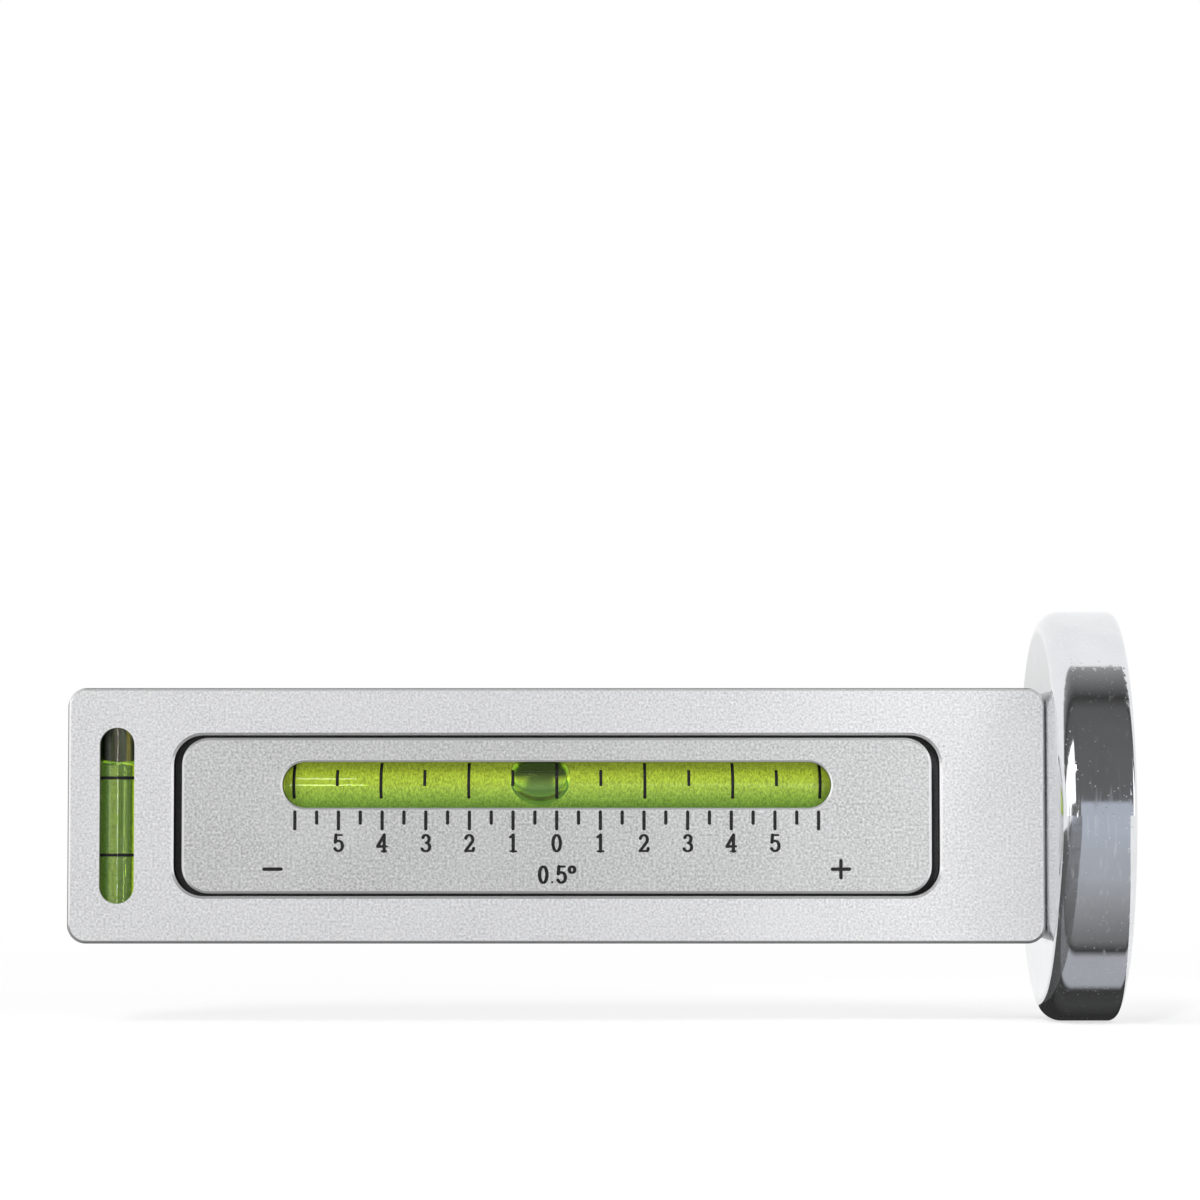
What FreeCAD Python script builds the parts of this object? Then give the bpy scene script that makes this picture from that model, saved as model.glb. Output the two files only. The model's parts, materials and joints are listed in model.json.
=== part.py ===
"""A magnetic gauge that reads a wheel's camber on one face and its caster on the other.

An aluminium bar stands out from a pot magnet that grips the wheel hub. Each face has a scale
plate over a bent spirit vial that lies along the bar, and a short cross vial at the free end.
The camber plate is fixed. The caster plate rocks on two pins, and a knurled screw sets its zero.

Frame: the origin is the centre of the magnet's contact face, +X points from the bar into the
hub, +Z is up and -Y is the camber side. Lengths are in millimetres and angles in degrees.
"""

import FreeCAD
import Part
import Sketcher
import math
import os

# %% Driving dimensions

SIZES = {
    # Aluminium bar
    "bar_length": 115.0,
    "bar_height": 30.0,
    "bar_depth": 20.0,
    "bar_corner_radius": 2.2,
    "bar_edge_chamfer": 0.35,
    # Pockets and the scale plates that lie in them
    "pocket_margin": 12.45,
    "pocket_height": 18.9,
    "pocket_corner_radius": 3.5,
    "pocket_edge_chamfer": 0.3,
    "pocket_end_gap": 0.95,
    "pocket_side_gap": 0.3,
    "plate_thickness": 2.5,
    "plate_recess": 0.3,
    "plate_edge_chamfer": 0.3,
    "window_margin": 11.8,
    "window_height": 5.4,
    "window_chamfer": 0.2,
    "window_lip": 0.7,
    "camber_window_rise": 3.62,
    "caster_window_drop": 4.8,
    # Long bent vials
    "vial_diameter": 7.0,
    "vial_wall": 0.7,
    "vial_end_wall": 1.2,
    "vial_plug_length": 1.6,
    "vial_overlap": 1.9,
    "bend_radius": 294.0,
    "vial_gap": 0.1,
    "vial_end_gap": 0.7,
    "channel_corner_radius": 1.0,
    # Bubbles of the long vials
    "bubble_length": 6.8,
    "bubble_height": 4.4,
    "bubble_width": 4.7,
    "bubble_film": 0.1,
    "bubble_cavity_gap": 0.03,
    # Cross vials
    "cross_vial_inset": 5.8,
    "cross_vial_diameter": 6.0,
    "cross_vial_cover": 3.0,
    "cross_bore_middle": 4.4,
    "cross_bore_end": 4.1,
    "cross_end_wall": 1.0,
    "cross_plug_length": 1.2,
    "cross_window_overlap": 1.65,
    "cross_window_width": 4.1,
    "cross_window_lip": 0.75,
    "cross_bubble_length": 4.9,
    "cross_bubble_gap": 0.1,
    "cross_seal_gap": 0.5,
    # Rocking mount of the caster plate
    "rock_gap": 0.5,
    "cradle_width": 5.0,
    "cradle_corner_radius": 0.8,
    "cradle_wall": 0.6,
    "cradle_gap": 0.3,
    "pivot_pin_diameter": 1.5,
    "pivot_pin_inset": 0.2,
    "pivot_hole_depth": 1.1,
    "pivot_end_gap": 0.1,
    # Zeroing screw of the caster plate
    "adjuster_inset": 4.6,
    "adjuster_diameter": 3.0,
    "adjuster_hole_diameter": 3.7,
    "adjuster_seat_diameter": 6.2,
    "washer_dome_radius": 3.5,
    "washer_rise": 0.7,
    "washer_gap": 0.3,
    "knob_diameter": 9.4,
    "knob_height": 4.2,
    "knob_chamfer": 0.5,
    "knob_flute_radius": 0.45,
    "knob_top_wall": 1.0,
    "spring_bore_depth": 4.0,
    "spring_bore_diameter": 5.8,
    "spring_diameter": 4.4,
    "spring_wire": 0.45,
    "spring_end_gap": 0.05,
    # Screws that hold the camber plate from behind
    "plate_screw_diameter": 2.0,
    "plate_screw_head_diameter": 3.8,
    "plate_screw_head_height": 1.3,
    "plate_screw_counterbore": 1.7,
    "plate_screw_thread": 1.9,
    "plate_screw_tip_gap": 0.2,
    "plate_screw_end_inset": 3.6,
    "plate_screw_side_inset": 3.15,
    "plate_screw_slot_width": 0.5,
    "plate_screw_slot_depth": 0.6,
    # Pot magnet
    "cup_diameter": 48.9,
    "cup_thickness": 9.0,
    "cup_back": 2.2,
    "cup_wall": 2.0,
    "cup_back_round": 2.6,
    "cup_rim_round": 0.9,
    "cup_inner_round": 1.0,
    "core_diameter": 18.0,
    "core_edge_chamfer": 0.4,
    "magnet_recess": 0.25,
    "filler_outer_width": 1.2,
    "filler_inner_width": 1.6,
    "filler_recess": 0.4,
    "stud_diameter": 6.0,
    "stud_core_depth": 4.5,
    "stud_bar_depth": 9.0,
    "stud_tip_gap": 0.5,
    # Shared fits, and how near two coordinates must be to count as the same
    "running_gap": 0.05,
    "bond_gap": 0.02,
    "match_tolerance": 0.0001,
}

# Angles in degrees. Each reading is how far a bubble stands from the middle of its vial.
ANGLES = {
    "rock_angle": 3.5,
    "camber_reading": -0.39,
    "caster_reading": 0.2,
}

COUNTS = {
    "knob_flutes": 24,
    "spring_turns": 5,
}

# Sizes and places worked out from the driving dimensions. Each row may use the rows above it.
PLACES = {
    "centre_x": "-(Sizes.cup_thickness + Sizes.bar_length / 2)",
    "cross_x": "-(Sizes.cup_thickness + Sizes.bar_length - Sizes.cross_vial_inset)",
    "face_y": "Sizes.bar_depth / 2",
    "pocket_length": "Sizes.bar_length - 2 * Sizes.pocket_margin",
    "plate_length": "pocket_length - 2 * Sizes.pocket_end_gap",
    "plate_height": "Sizes.pocket_height - 2 * Sizes.pocket_side_gap",
    "window_length": "plate_length - 2 * Sizes.window_margin",
    "plate_corner_radius": "Sizes.pocket_corner_radius - Sizes.pocket_side_gap",
    "plate_outer_y": "face_y - Sizes.plate_recess",
    "plate_inner_y": "plate_outer_y - Sizes.plate_thickness",
    "pivot_y": "(plate_outer_y + plate_inner_y) / 2",
    # Long vials, given for the rear face: the front one is its mirror image
    "vial_radius": "Sizes.vial_diameter / 2",
    "bore_radius": "vial_radius - Sizes.vial_wall",
    "vial_crown_y": "plate_outer_y - Sizes.window_lip - vial_radius",
    "bend_centre_y": "vial_crown_y - Sizes.bend_radius",
    "vial_half_length": "window_length / 2 + Sizes.vial_overlap",
    "vial_sweep": "2 * asin(vial_half_length / (Sizes.bend_radius + vial_radius)) / (1 deg)",
    "vial_sag": "Sizes.bend_radius * (1 - cos(vial_sweep / 2))",
    "vial_back_y": "vial_crown_y - vial_sag - vial_radius",
    "end_wall_angle": "2 * atan(Sizes.vial_end_wall / Sizes.bend_radius / 2) / (1 deg)",
    "plug_angle": "2 * atan(Sizes.vial_plug_length / Sizes.bend_radius / 2) / (1 deg)",
    "gap_angle": "2 * atan(Sizes.bond_gap / Sizes.bend_radius / 2) / (1 deg)",
    "bubble_rise": "bore_radius - Sizes.bubble_film - Sizes.bubble_height / 2",
    # Front and rear channels behind the plates
    "front_channel_depth": "face_y - vial_back_y + Sizes.vial_gap",
    "channel_half_length": "vial_half_length + Sizes.vial_end_gap",
    "adjuster_arm": "plate_length / 2 - Sizes.adjuster_inset",
    "rock_travel": "adjuster_arm * sin(Sizes.rock_angle)",
    "cradle_back_y": "vial_back_y - Sizes.cradle_wall",
    "cradle_height": "Sizes.vial_diameter + 2 * Sizes.cradle_wall",
    "cradle_sink": "vial_half_length * sin(Sizes.rock_angle)",
    "cradle_swing": "(pivot_y - cradle_back_y) * sin(Sizes.rock_angle)",
    "rear_channel_depth": "face_y - cradle_back_y + cradle_sink + Sizes.rock_gap",
    "rear_channel_half_length": "vial_half_length + cradle_swing + Sizes.rock_gap",
    "plate_end_sink": "plate_length / 2 * sin(Sizes.rock_angle)",
    "rear_floor_y": "plate_inner_y - plate_end_sink - Sizes.rock_gap",
    "spring_floor_y": "rear_floor_y - Sizes.spring_bore_depth",
    # Zeroing screw
    "adjuster_x": "centre_x - adjuster_arm",
    "adjuster_tip_y": "rock_travel + Sizes.rock_gap - plate_inner_y",
    "washer_top_y": "plate_outer_y + Sizes.washer_rise",
    "seat_depth": "(Sizes.adjuster_seat_diameter - Sizes.adjuster_hole_diameter) / 2",
    "dome_y": "plate_outer_y - Sizes.adjuster_seat_diameter / 2"
    " + (Sizes.washer_dome_radius + Sizes.washer_gap) / cos(45)",
    "knob_bottom_y": "washer_top_y + Sizes.running_gap",
    # Cross vials, given for the rear face
    "cross_radius": "Sizes.cross_vial_diameter / 2",
    "cross_y": "face_y - Sizes.cross_window_lip - cross_radius",
    "cross_vial_length": "Sizes.bar_height - 2 * Sizes.cross_vial_cover",
    "cross_window_length": "cross_vial_length - 2 * Sizes.cross_window_overlap",
    "cross_seal_length": "Sizes.cross_vial_cover - Sizes.cross_seal_gap",
    "cross_bore_half": "cross_vial_length / 2 - Sizes.cross_end_wall",
    "cross_bore_long_radius": "cross_bore_half"
    " / sqrt(1 - (Sizes.cross_bore_end / Sizes.cross_bore_middle) ^ 2)",
    "cross_plug_bottom": "cross_vial_length / 2 - Sizes.cross_plug_length",
    "cross_bubble_top": "cross_plug_bottom - Sizes.cross_bubble_gap",
    "cross_bubble_radius": "Sizes.cross_bore_end / 2 - Sizes.cross_bubble_gap",
    "meniscus_z": "cross_bubble_top - Sizes.cross_bubble_length - Sizes.bubble_cavity_gap",
    # Camber plate screws
    "plate_screw_x": "plate_length / 2 - Sizes.plate_screw_end_inset",
    "plate_screw_z": "plate_height / 2 - Sizes.plate_screw_side_inset",
    "plate_screw_seat_y": "rear_floor_y - Sizes.plate_screw_counterbore",
    "plate_screw_tip_y": "Sizes.plate_screw_tip_gap - plate_inner_y - Sizes.plate_screw_thread",
    # Pot magnet
    "cup_radius": "Sizes.cup_diameter / 2",
    "cup_depth": "Sizes.cup_thickness - Sizes.cup_back",
    "cup_bore_radius": "cup_radius - Sizes.cup_wall",
    "ring_outer_radius": "cup_bore_radius - Sizes.filler_outer_width",
    "ring_inner_radius": "Sizes.core_diameter / 2 + Sizes.filler_inner_width",
    "stud_hole_radius": "Sizes.stud_diameter / 2 + Sizes.bond_gap",
}

CAMBER_SIDE = -1
CASTER_SIDE = 1
NORMAL_PLANES = {"across": "YZ_Plane", "deep": "XZ_Plane", "up": "XY_Plane"}

document = FreeCAD.newDocument("camber_caster_gauge")
sizes_sheet = document.addObject("Spreadsheet::Sheet", "Sizes")
places_sheet = document.addObject("Spreadsheet::Sheet", "Places")
nodes = []


def fill_sheet(sheet, rows, lead):
    """Writes one named row per size, with its name beside it."""
    for row, (name, content) in enumerate(rows.items(), start=1):
        sheet.set("A%d" % row, name)
        sheet.set("B%d" % row, lead + str(content))
        sheet.setAlias("B%d" % row, name)


def size(name):
    """A driving dimension as the sheet holds it now."""
    return float(sizes_sheet.get(name))


def place(name):
    """A worked-out size or place as the sheet holds it now."""
    found = places_sheet.get(name)
    return float(getattr(found, "Value", found))


def value_of(owner, formula):
    """The number that a formula of named sizes gives now."""
    found = owner.evalExpression(formula)
    return float(getattr(found, "Value", found))


# %% Helpers for sketches


def new_body(name):
    """An empty body that will become one piece."""
    return document.addObject("PartDesign::Body", name)


def origin_plane(body, role):
    """One of the body's own origin planes."""
    return next(item for item in body.Origin.OriginFeatures if item.Role == role)


def new_sketch(body, name, facing, x="0", y="0", z="0"):
    """A sketch square to one axis, with its own middle at the given place.

    facing "deep" looks along Y with X and Z in the sketch, "across" looks along X with Y and Z
    in it, and "up" looks along Z with X and Y in it.
    """
    sketch = body.newObject("Sketcher::SketchObject", name)
    sketch.AttachmentSupport = (origin_plane(body, NORMAL_PLANES[facing]), [""])
    sketch.MapMode = "FlatFace"
    local = {
        "deep": (x, z, "-(%s)" % y),
        "across": (y, z, x),
        "up": (x, y, z),
    }[facing]
    for letter, formula in zip("xyz", local):
        if formula != "0":
            sketch.setExpression(".AttachmentOffset.Base." + letter, formula)
    document.recompute()
    return sketch


def constrain(sketch, kind, *items, formula=None):
    """Adds one constraint, and binds it to a formula where it is a dimension."""
    if formula is None:
        sketch.addConstraint(Sketcher.Constraint(kind, *items))
        return
    number = value_of(sketch, formula)
    index = sketch.addConstraint(Sketcher.Constraint(kind, *items, number))
    sketch.setExpression("Constraints[%d]" % index, formula)


def draw_circle(sketch, diameter):
    """A circle about the sketch's middle."""
    radius = value_of(sketch, diameter) / 2
    circle = sketch.addGeometry(Part.Circle(FreeCAD.Vector(), FreeCAD.Vector(0, 0, 1), radius))
    constrain(sketch, "Coincident", circle, 3, -1, 1)
    constrain(sketch, "Diameter", circle, formula=diameter)


def draw_slot(sketch, length, width, upright=False):
    """A slot with full round ends about the sketch's middle."""
    radius = value_of(sketch, width) / 2
    reach = value_of(sketch, length) / 2 - radius
    turn = 90 if upright else 0
    turned = FreeCAD.Rotation(FreeCAD.Vector(0, 0, 1), turn)

    def point(along, aside):
        return turned.multVec(FreeCAD.Vector(along, aside, 0))

    def end_arc(along, start):
        circle = Part.Circle(point(along, 0), FreeCAD.Vector(0, 0, 1), radius)
        first = math.radians(start + turn)
        return Part.ArcOfCircle(circle, first, first + math.pi)

    right = sketch.addGeometry(end_arc(reach, -90))
    top = sketch.addGeometry(Part.LineSegment(point(reach, radius), point(-reach, radius)))
    left = sketch.addGeometry(end_arc(-reach, 90))
    bottom = sketch.addGeometry(Part.LineSegment(point(-reach, -radius), point(reach, -radius)))
    ring = [right, top, left, bottom]
    for first, second in zip(ring, ring[1:] + ring[:1]):
        constrain(sketch, "Tangent", first, 2, second, 1)
    constrain(sketch, "Vertical" if upright else "Horizontal", top)
    constrain(sketch, "Vertical" if upright else "Horizontal", bottom)
    constrain(sketch, "Symmetric", left, 3, right, 3, -1, 1)
    constrain(sketch, "Radius", right, formula="(%s) / 2" % width)
    distance = "DistanceY" if upright else "DistanceX"
    constrain(sketch, distance, left, 3, right, 3, formula="(%s) - (%s)" % (length, width))


def draw_rounded_rectangle(sketch, width, height, radius):
    """A rectangle with round corners about the sketch's middle."""
    corner = value_of(sketch, radius)
    reach_x = value_of(sketch, width) / 2 - corner
    reach_y = value_of(sketch, height) / 2 - corner
    ring = []
    for quarter in range(4):
        side_x = reach_x if quarter in (0, 1) else -reach_x
        side_y = reach_y if quarter in (1, 2) else -reach_y
        start = math.radians(90 * quarter - 90)
        circle = Part.Circle(FreeCAD.Vector(side_x, side_y, 0), FreeCAD.Vector(0, 0, 1), corner)
        arc = Part.ArcOfCircle(circle, start, start + math.pi / 2)
        ring.append((sketch.addGeometry(arc), arc))
    lines = []
    for quarter in range(4):
        begin = ring[quarter][1].EndPoint
        finish = ring[(quarter + 1) % 4][1].StartPoint
        lines.append(sketch.addGeometry(Part.LineSegment(begin, finish)))
    for quarter in range(4):
        constrain(sketch, "Tangent", ring[quarter][0], 2, lines[quarter], 1)
        constrain(sketch, "Tangent", lines[quarter], 2, ring[(quarter + 1) % 4][0], 1)
        constrain(sketch, "Vertical" if quarter % 2 == 0 else "Horizontal", lines[quarter])
    for quarter in (1, 2, 3):
        constrain(sketch, "Equal", ring[0][0], ring[quarter][0])
    constrain(sketch, "Symmetric", ring[3][0], 3, ring[1][0], 3, -1, 1)
    constrain(sketch, "Radius", ring[0][0], formula=radius)
    constrain(sketch, "DistanceX", lines[2], 1, lines[0], 1, formula=width)
    constrain(sketch, "DistanceY", lines[3], 1, lines[1], 1, formula=height)


def draw_outline(sketch, corners):
    """A closed outline of straight lines whose corners are pairs of formulas, none negative."""
    points = [FreeCAD.Vector(value_of(sketch, x), value_of(sketch, y), 0) for x, y in corners]
    lines = []
    for begin, finish in zip(points, points[1:] + points[:1]):
        lines.append(sketch.addGeometry(Part.LineSegment(begin, finish)))
    for first, second in zip(lines, lines[1:] + lines[:1]):
        constrain(sketch, "Coincident", first, 2, second, 1)
    for line, (x, y) in zip(lines, corners):
        if x == "0":
            constrain(sketch, "PointOnObject", line, 1, -2)
        else:
            constrain(sketch, "DistanceX", -1, 1, line, 1, formula=x)
        if y == "0":
            constrain(sketch, "PointOnObject", line, 1, -1)
        else:
            constrain(sketch, "DistanceY", -1, 1, line, 1, formula=y)


# %% Helpers for features


def pad(body, sketch, length):
    """Thickens a sketch along its own normal."""
    feature = body.newObject("PartDesign::Pad", "Pad")
    feature.Profile = sketch
    feature.setExpression("Length", length)
    document.recompute()
    return feature


def pocket(body, sketch, depth, from_far_side=False):
    """Cuts a sketch into the body, and makes sure that it does cut."""
    before = body.Shape.Volume
    feature = body.newObject("PartDesign::Pocket", "Pocket")
    feature.Profile = sketch
    feature.setExpression("Length", depth)
    feature.Reversed = from_far_side
    document.recompute()
    if not body.Shape.Volume < before:
        raise ValueError("%s cuts nothing from %s" % (sketch.Label, body.Name))
    return feature


def turn(body, sketch):
    """Turns a sketch once about its own horizontal axis."""
    feature = body.newObject("PartDesign::Revolution", "Revolution")
    feature.Profile = sketch
    feature.ReferenceAxis = (sketch, ["H_Axis"])
    feature.Angle = 360
    document.recompute()
    return feature


def break_edges(body, kind, length, wanted):
    """Rounds or chamfers each edge that the test picks."""
    edges = body.Shape.Edges
    names = ["Edge%d" % number for number, edge in enumerate(edges, start=1) if wanted(edge)]
    base = body.Tip
    feature = body.newObject("PartDesign::" + kind, kind)
    feature.Base = (base, names)
    feature.setExpression("Size" if kind == "Chamfer" else "Radius", length)
    document.recompute()
    return feature


def lies_at(edge, axis, where):
    """Whether every end and the middle of an edge have one coordinate."""
    middle = edge.valueAt((edge.FirstParameter + edge.LastParameter) / 2)
    points = [vertex.Point for vertex in edge.Vertexes] + [middle]
    return all(abs(point[axis] - where) < size("match_tolerance") for point in points)


def primitive(kind, name, **formulas):
    """A basic solid whose named sizes are bound to formulas."""
    solid = document.addObject("Part::" + kind, name)
    for field, formula in formulas.items():
        solid.setExpression(field, formula)
    return solid


def put(piece, x="0", y="0", z="0", axis=None, angle=0):
    """Places a piece: turned first, then moved."""
    if axis:
        piece.Placement.Rotation = FreeCAD.Rotation(FreeCAD.Vector(*axis), angle)
    for letter, formula in zip("xyz", (x, y, z)):
        if formula != "0":
            piece.setExpression(".Placement.Base." + letter, formula)
    return piece


def cut(name, base, tool):
    """One solid less another."""
    piece = document.addObject("Part::Cut", name)
    piece.Base = base
    piece.Tool = tool
    return piece


def common(name, first, second):
    """What two solids share."""
    piece = document.addObject("Part::Common", name)
    piece.Base = first
    piece.Tool = second
    return piece


def group(name, pieces):
    """Separate solids that share one node."""
    piece = document.addObject("Part::Compound", name)
    piece.Links = pieces
    return piece


def node(piece, label):
    """Marks a piece as one of the part's nodes."""
    piece.Label = label
    nodes.append(piece)
    return piece


AXIS_X = (1, 0, 0)
AXIS_Y = (0, 1, 0)
AXIS_Z = (0, 0, 1)


# %% Bar


def build_bar():
    """The bar: a shallow pocket and channel in front, deeper ones behind, and drilled ends."""
    body = new_body("BarBody")
    outline = new_sketch(body, "BarOutline", "deep", x="Places.centre_x", y="Places.face_y")
    draw_rounded_rectangle(outline, "Sizes.bar_length", "Sizes.bar_height", "Sizes.bar_corner_radius")
    pad(body, outline, "Sizes.bar_depth")
    face_y = place("face_y")
    break_edges(
        body,
        "Chamfer",
        "Sizes.bar_edge_chamfer",
        lambda edge: lies_at(edge, 1, face_y) or lies_at(edge, 1, -face_y),
    )
    cut_camber_pocket(body)
    cut_caster_pocket(body)
    drill_cross_bores(body)
    drill_pivot_holes(body)
    drill_adjuster_hole(body)
    drill_plate_screw_holes(body)
    drill_stud_hole(body)
    return node(body, "bar")


def pocket_sketch(body, name, y):
    """The outline that both plate pockets share."""
    sketch = new_sketch(body, name, "deep", x="Places.centre_x", y=y)
    draw_rounded_rectangle(
        sketch, "Places.pocket_length", "Sizes.pocket_height", "Sizes.pocket_corner_radius"
    )
    return sketch


def break_pocket_edge(body, side):
    """Chamfers the edge where a plate pocket opens in one face of the bar."""
    face_y = side * place("face_y")
    reach_x = place("pocket_length") / 2 + size("match_tolerance")
    reach_z = size("pocket_height") / 2 + size("match_tolerance")

    def is_rim(edge):
        middle = edge.BoundBox.Center
        inside = abs(middle.x - place("centre_x")) < reach_x and abs(middle.z) < reach_z
        return inside and lies_at(edge, 1, face_y)

    break_edges(body, "Chamfer", "Sizes.pocket_edge_chamfer", is_rim)


def cut_camber_pocket(body):
    """The seat of the camber plate, and the channel for the vial behind it."""
    seat = pocket_sketch(body, "CamberPocket", "-Places.face_y")
    pocket(body, seat, "Sizes.plate_recess + Sizes.plate_thickness")
    break_pocket_edge(body, CAMBER_SIDE)
    channel = new_sketch(
        body,
        "CamberChannel",
        "deep",
        x="Places.centre_x",
        y="-Places.face_y",
        z="Sizes.camber_window_rise",
    )
    draw_rounded_rectangle(
        channel,
        "2 * Places.channel_half_length",
        "Sizes.vial_diameter + 2 * Sizes.vial_gap",
        "Sizes.channel_corner_radius",
    )
    pocket(body, channel, "Places.front_channel_depth")


def cut_caster_pocket(body):
    """The deeper pocket that the caster plate rocks in, and the channel for its cradle."""
    seat = pocket_sketch(body, "CasterPocket", "Places.face_y")
    pocket(body, seat, "Places.face_y - Places.rear_floor_y", from_far_side=True)
    break_pocket_edge(body, CASTER_SIDE)
    channel = new_sketch(
        body,
        "CasterChannel",
        "deep",
        x="Places.centre_x",
        y="Places.face_y",
        z="-Sizes.caster_window_drop",
    )
    draw_rounded_rectangle(
        channel,
        "2 * Places.rear_channel_half_length",
        "Places.cradle_height + 2 * Sizes.cradle_gap",
        "Sizes.channel_corner_radius",
    )
    pocket(body, channel, "Places.rear_channel_depth", from_far_side=True)


def drill_cross_bores(body):
    """A bore from the underside for each cross vial, and the slot that shows the vial."""
    for name, side in (("Front", CAMBER_SIDE), ("Rear", CASTER_SIDE)):
        bore = new_sketch(
            body,
            name + "CrossBore",
            "up",
            x="Places.cross_x",
            y="%d * Places.cross_y" % side,
            z="-Sizes.bar_height / 2",
        )
        draw_circle(bore, "Sizes.cross_vial_diameter + 2 * Sizes.bond_gap")
        depth = "(Sizes.bar_height + Places.cross_vial_length) / 2 + Sizes.bond_gap"
        pocket(body, bore, depth, from_far_side=True)
        window = new_sketch(
            body,
            name + "CrossWindow",
            "deep",
            x="Places.cross_x",
            y="%d * Places.face_y" % side,
        )
        draw_slot(window, "Places.cross_window_length", "Sizes.cross_window_width", upright=True)
        lip = "Sizes.cross_window_lip + Places.cross_radius"
        pocket(body, window, lip, from_far_side=side == CASTER_SIDE)


def drill_pivot_holes(body):
    """One hole for the two pins that the caster plate rocks on, through both rails."""
    hole = new_sketch(
        body,
        "PivotHole",
        "up",
        x="Places.centre_x",
        y="Places.pivot_y",
        z="-Sizes.bar_height / 2",
    )
    draw_circle(hole, "Sizes.pivot_pin_diameter + 2 * Sizes.bond_gap")
    pocket(body, hole, "Sizes.bar_height", from_far_side=True)


def drill_adjuster_hole(body):
    """The spring's bore and the threaded hole of the zeroing screw, from the caster side."""
    for name, diameter, depth in (
        ("SpringBore", "Sizes.spring_bore_diameter", "Places.face_y - Places.spring_floor_y"),
        ("AdjusterHole", "Sizes.adjuster_diameter + 2 * Sizes.running_gap", "Sizes.bar_depth"),
    ):
        hole = new_sketch(body, name, "deep", x="Places.adjuster_x", y="Places.face_y")
        draw_circle(hole, diameter)
        pocket(body, hole, depth, from_far_side=True)


def plate_screw_places():
    """The four places of the screws behind the camber plate."""
    for side in (-1, 1):
        for rise in (-1, 1):
            x = "Places.centre_x + %d * Places.plate_screw_x" % side
            yield x, "%d * Places.plate_screw_z" % rise


def drill_plate_screw_holes(body):
    """A counterbore and a clearance hole for each screw of the camber plate."""
    for number, (x, z) in enumerate(plate_screw_places(), start=1):
        for name, diameter, depth in (
            (
                "ScrewSeat%d" % number,
                "Sizes.plate_screw_head_diameter + 2 * Sizes.vial_gap",
                "Places.face_y - Places.plate_screw_seat_y",
            ),
            (
                "ScrewHole%d" % number,
                "Sizes.plate_screw_diameter + 2 * Sizes.vial_gap",
                "Sizes.bar_depth",
            ),
        ):
            hole = new_sketch(body, name, "deep", x=x, y="Places.face_y", z=z)
            draw_circle(hole, diameter)
            pocket(body, hole, depth, from_far_side=True)


def drill_stud_hole(body):
    """The blind threaded hole for the magnet's stud."""
    hole = new_sketch(body, "StudHole", "across", x="-Sizes.cup_thickness")
    draw_circle(hole, "2 * Places.stud_hole_radius")
    pocket(body, hole, "Sizes.stud_bar_depth + Sizes.stud_tip_gap")


# %% Scale plates


def plate_blank(name, side, window_z):
    """A plate with round corners, chamfered edges and the window of its long vial."""
    body = new_body(name)
    start = "Places.plate_outer_y" if side == CASTER_SIDE else "-Places.plate_inner_y"
    outline = new_sketch(body, name + "Outline", "deep", x="Places.centre_x", y=start)
    draw_rounded_rectangle(
        outline, "Places.plate_length", "Places.plate_height", "Places.plate_corner_radius"
    )
    pad(body, outline, "Sizes.plate_thickness")
    outer = side * place("plate_outer_y")
    break_edges(body, "Chamfer", "Sizes.plate_edge_chamfer", lambda edge: lies_at(edge, 1, outer))
    window = new_sketch(
        body,
        name + "Window",
        "deep",
        x="Places.centre_x",
        y="%d * Places.plate_outer_y" % side,
        z=window_z,
    )
    draw_slot(window, "Places.window_length", "Sizes.window_height")
    pocket(body, window, "Sizes.plate_thickness", from_far_side=side == CASTER_SIDE)
    break_edges(
        body,
        "Chamfer",
        "Sizes.window_chamfer",
        lambda edge: lies_at(edge, 1, outer) and is_window_edge(edge),
    )
    return body


def is_window_edge(edge):
    """Whether an edge of a plate's outer face goes round its window, and not round the plate."""
    middle = edge.BoundBox.Center
    inside_height = abs(middle.z) < place("plate_height") / 2 - 2 * size("plate_edge_chamfer")
    inside_length = abs(middle.x - place("centre_x")) < place("window_length") / 2
    return inside_height and inside_length


def build_camber_plate():
    """The fixed plate, with blind threaded holes behind for its four screws."""
    body = plate_blank("CamberPlateBody", CAMBER_SIDE, "Sizes.camber_window_rise")
    for number, (x, z) in enumerate(plate_screw_places(), start=1):
        name = "PlateThread%d" % number
        hole = new_sketch(body, name, "deep", x=x, y="-Places.plate_inner_y", z=z)
        draw_circle(hole, "Sizes.plate_screw_diameter + 2 * Sizes.bond_gap")
        pocket(body, hole, "Sizes.plate_screw_thread", from_far_side=True)
    seat = vial_shape("CamberVialSeat", "Places.vial_radius + Sizes.vial_gap", CAMBER_SIDE)
    return node(cut("CamberPlate", body, seat), "camber_plate")


def build_caster_plate():
    """The rocking plate, with a cradle at each end of its vial and the zeroing screw's seat."""
    body = plate_blank("CasterPlateBody", CASTER_SIDE, "-Sizes.caster_window_drop")
    add_cradles(body)
    drill_plate_pivots(body)
    cut_adjuster_seat(body)
    seat = vial_shape("CasterVialSeat", "Places.vial_radius + Sizes.bond_gap", CASTER_SIDE)
    return node(cut("CasterPlate", body, seat), "caster_plate")


def add_cradles(body):
    """Two blocks behind the plate that hold the ends of the caster vial."""
    for name, side in (("LeftCradle", -1), ("RightCradle", 1)):
        cradle = new_sketch(
            body,
            name,
            "deep",
            x="Places.centre_x + %d * (Places.vial_half_length - Sizes.cradle_width / 2)" % side,
            y="Places.plate_inner_y",
            z="-Sizes.caster_window_drop",
        )
        draw_rounded_rectangle(
            cradle, "Sizes.cradle_width", "Places.cradle_height", "Sizes.cradle_corner_radius"
        )
        pad(body, cradle, "Places.plate_inner_y - Places.cradle_back_y")


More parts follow.
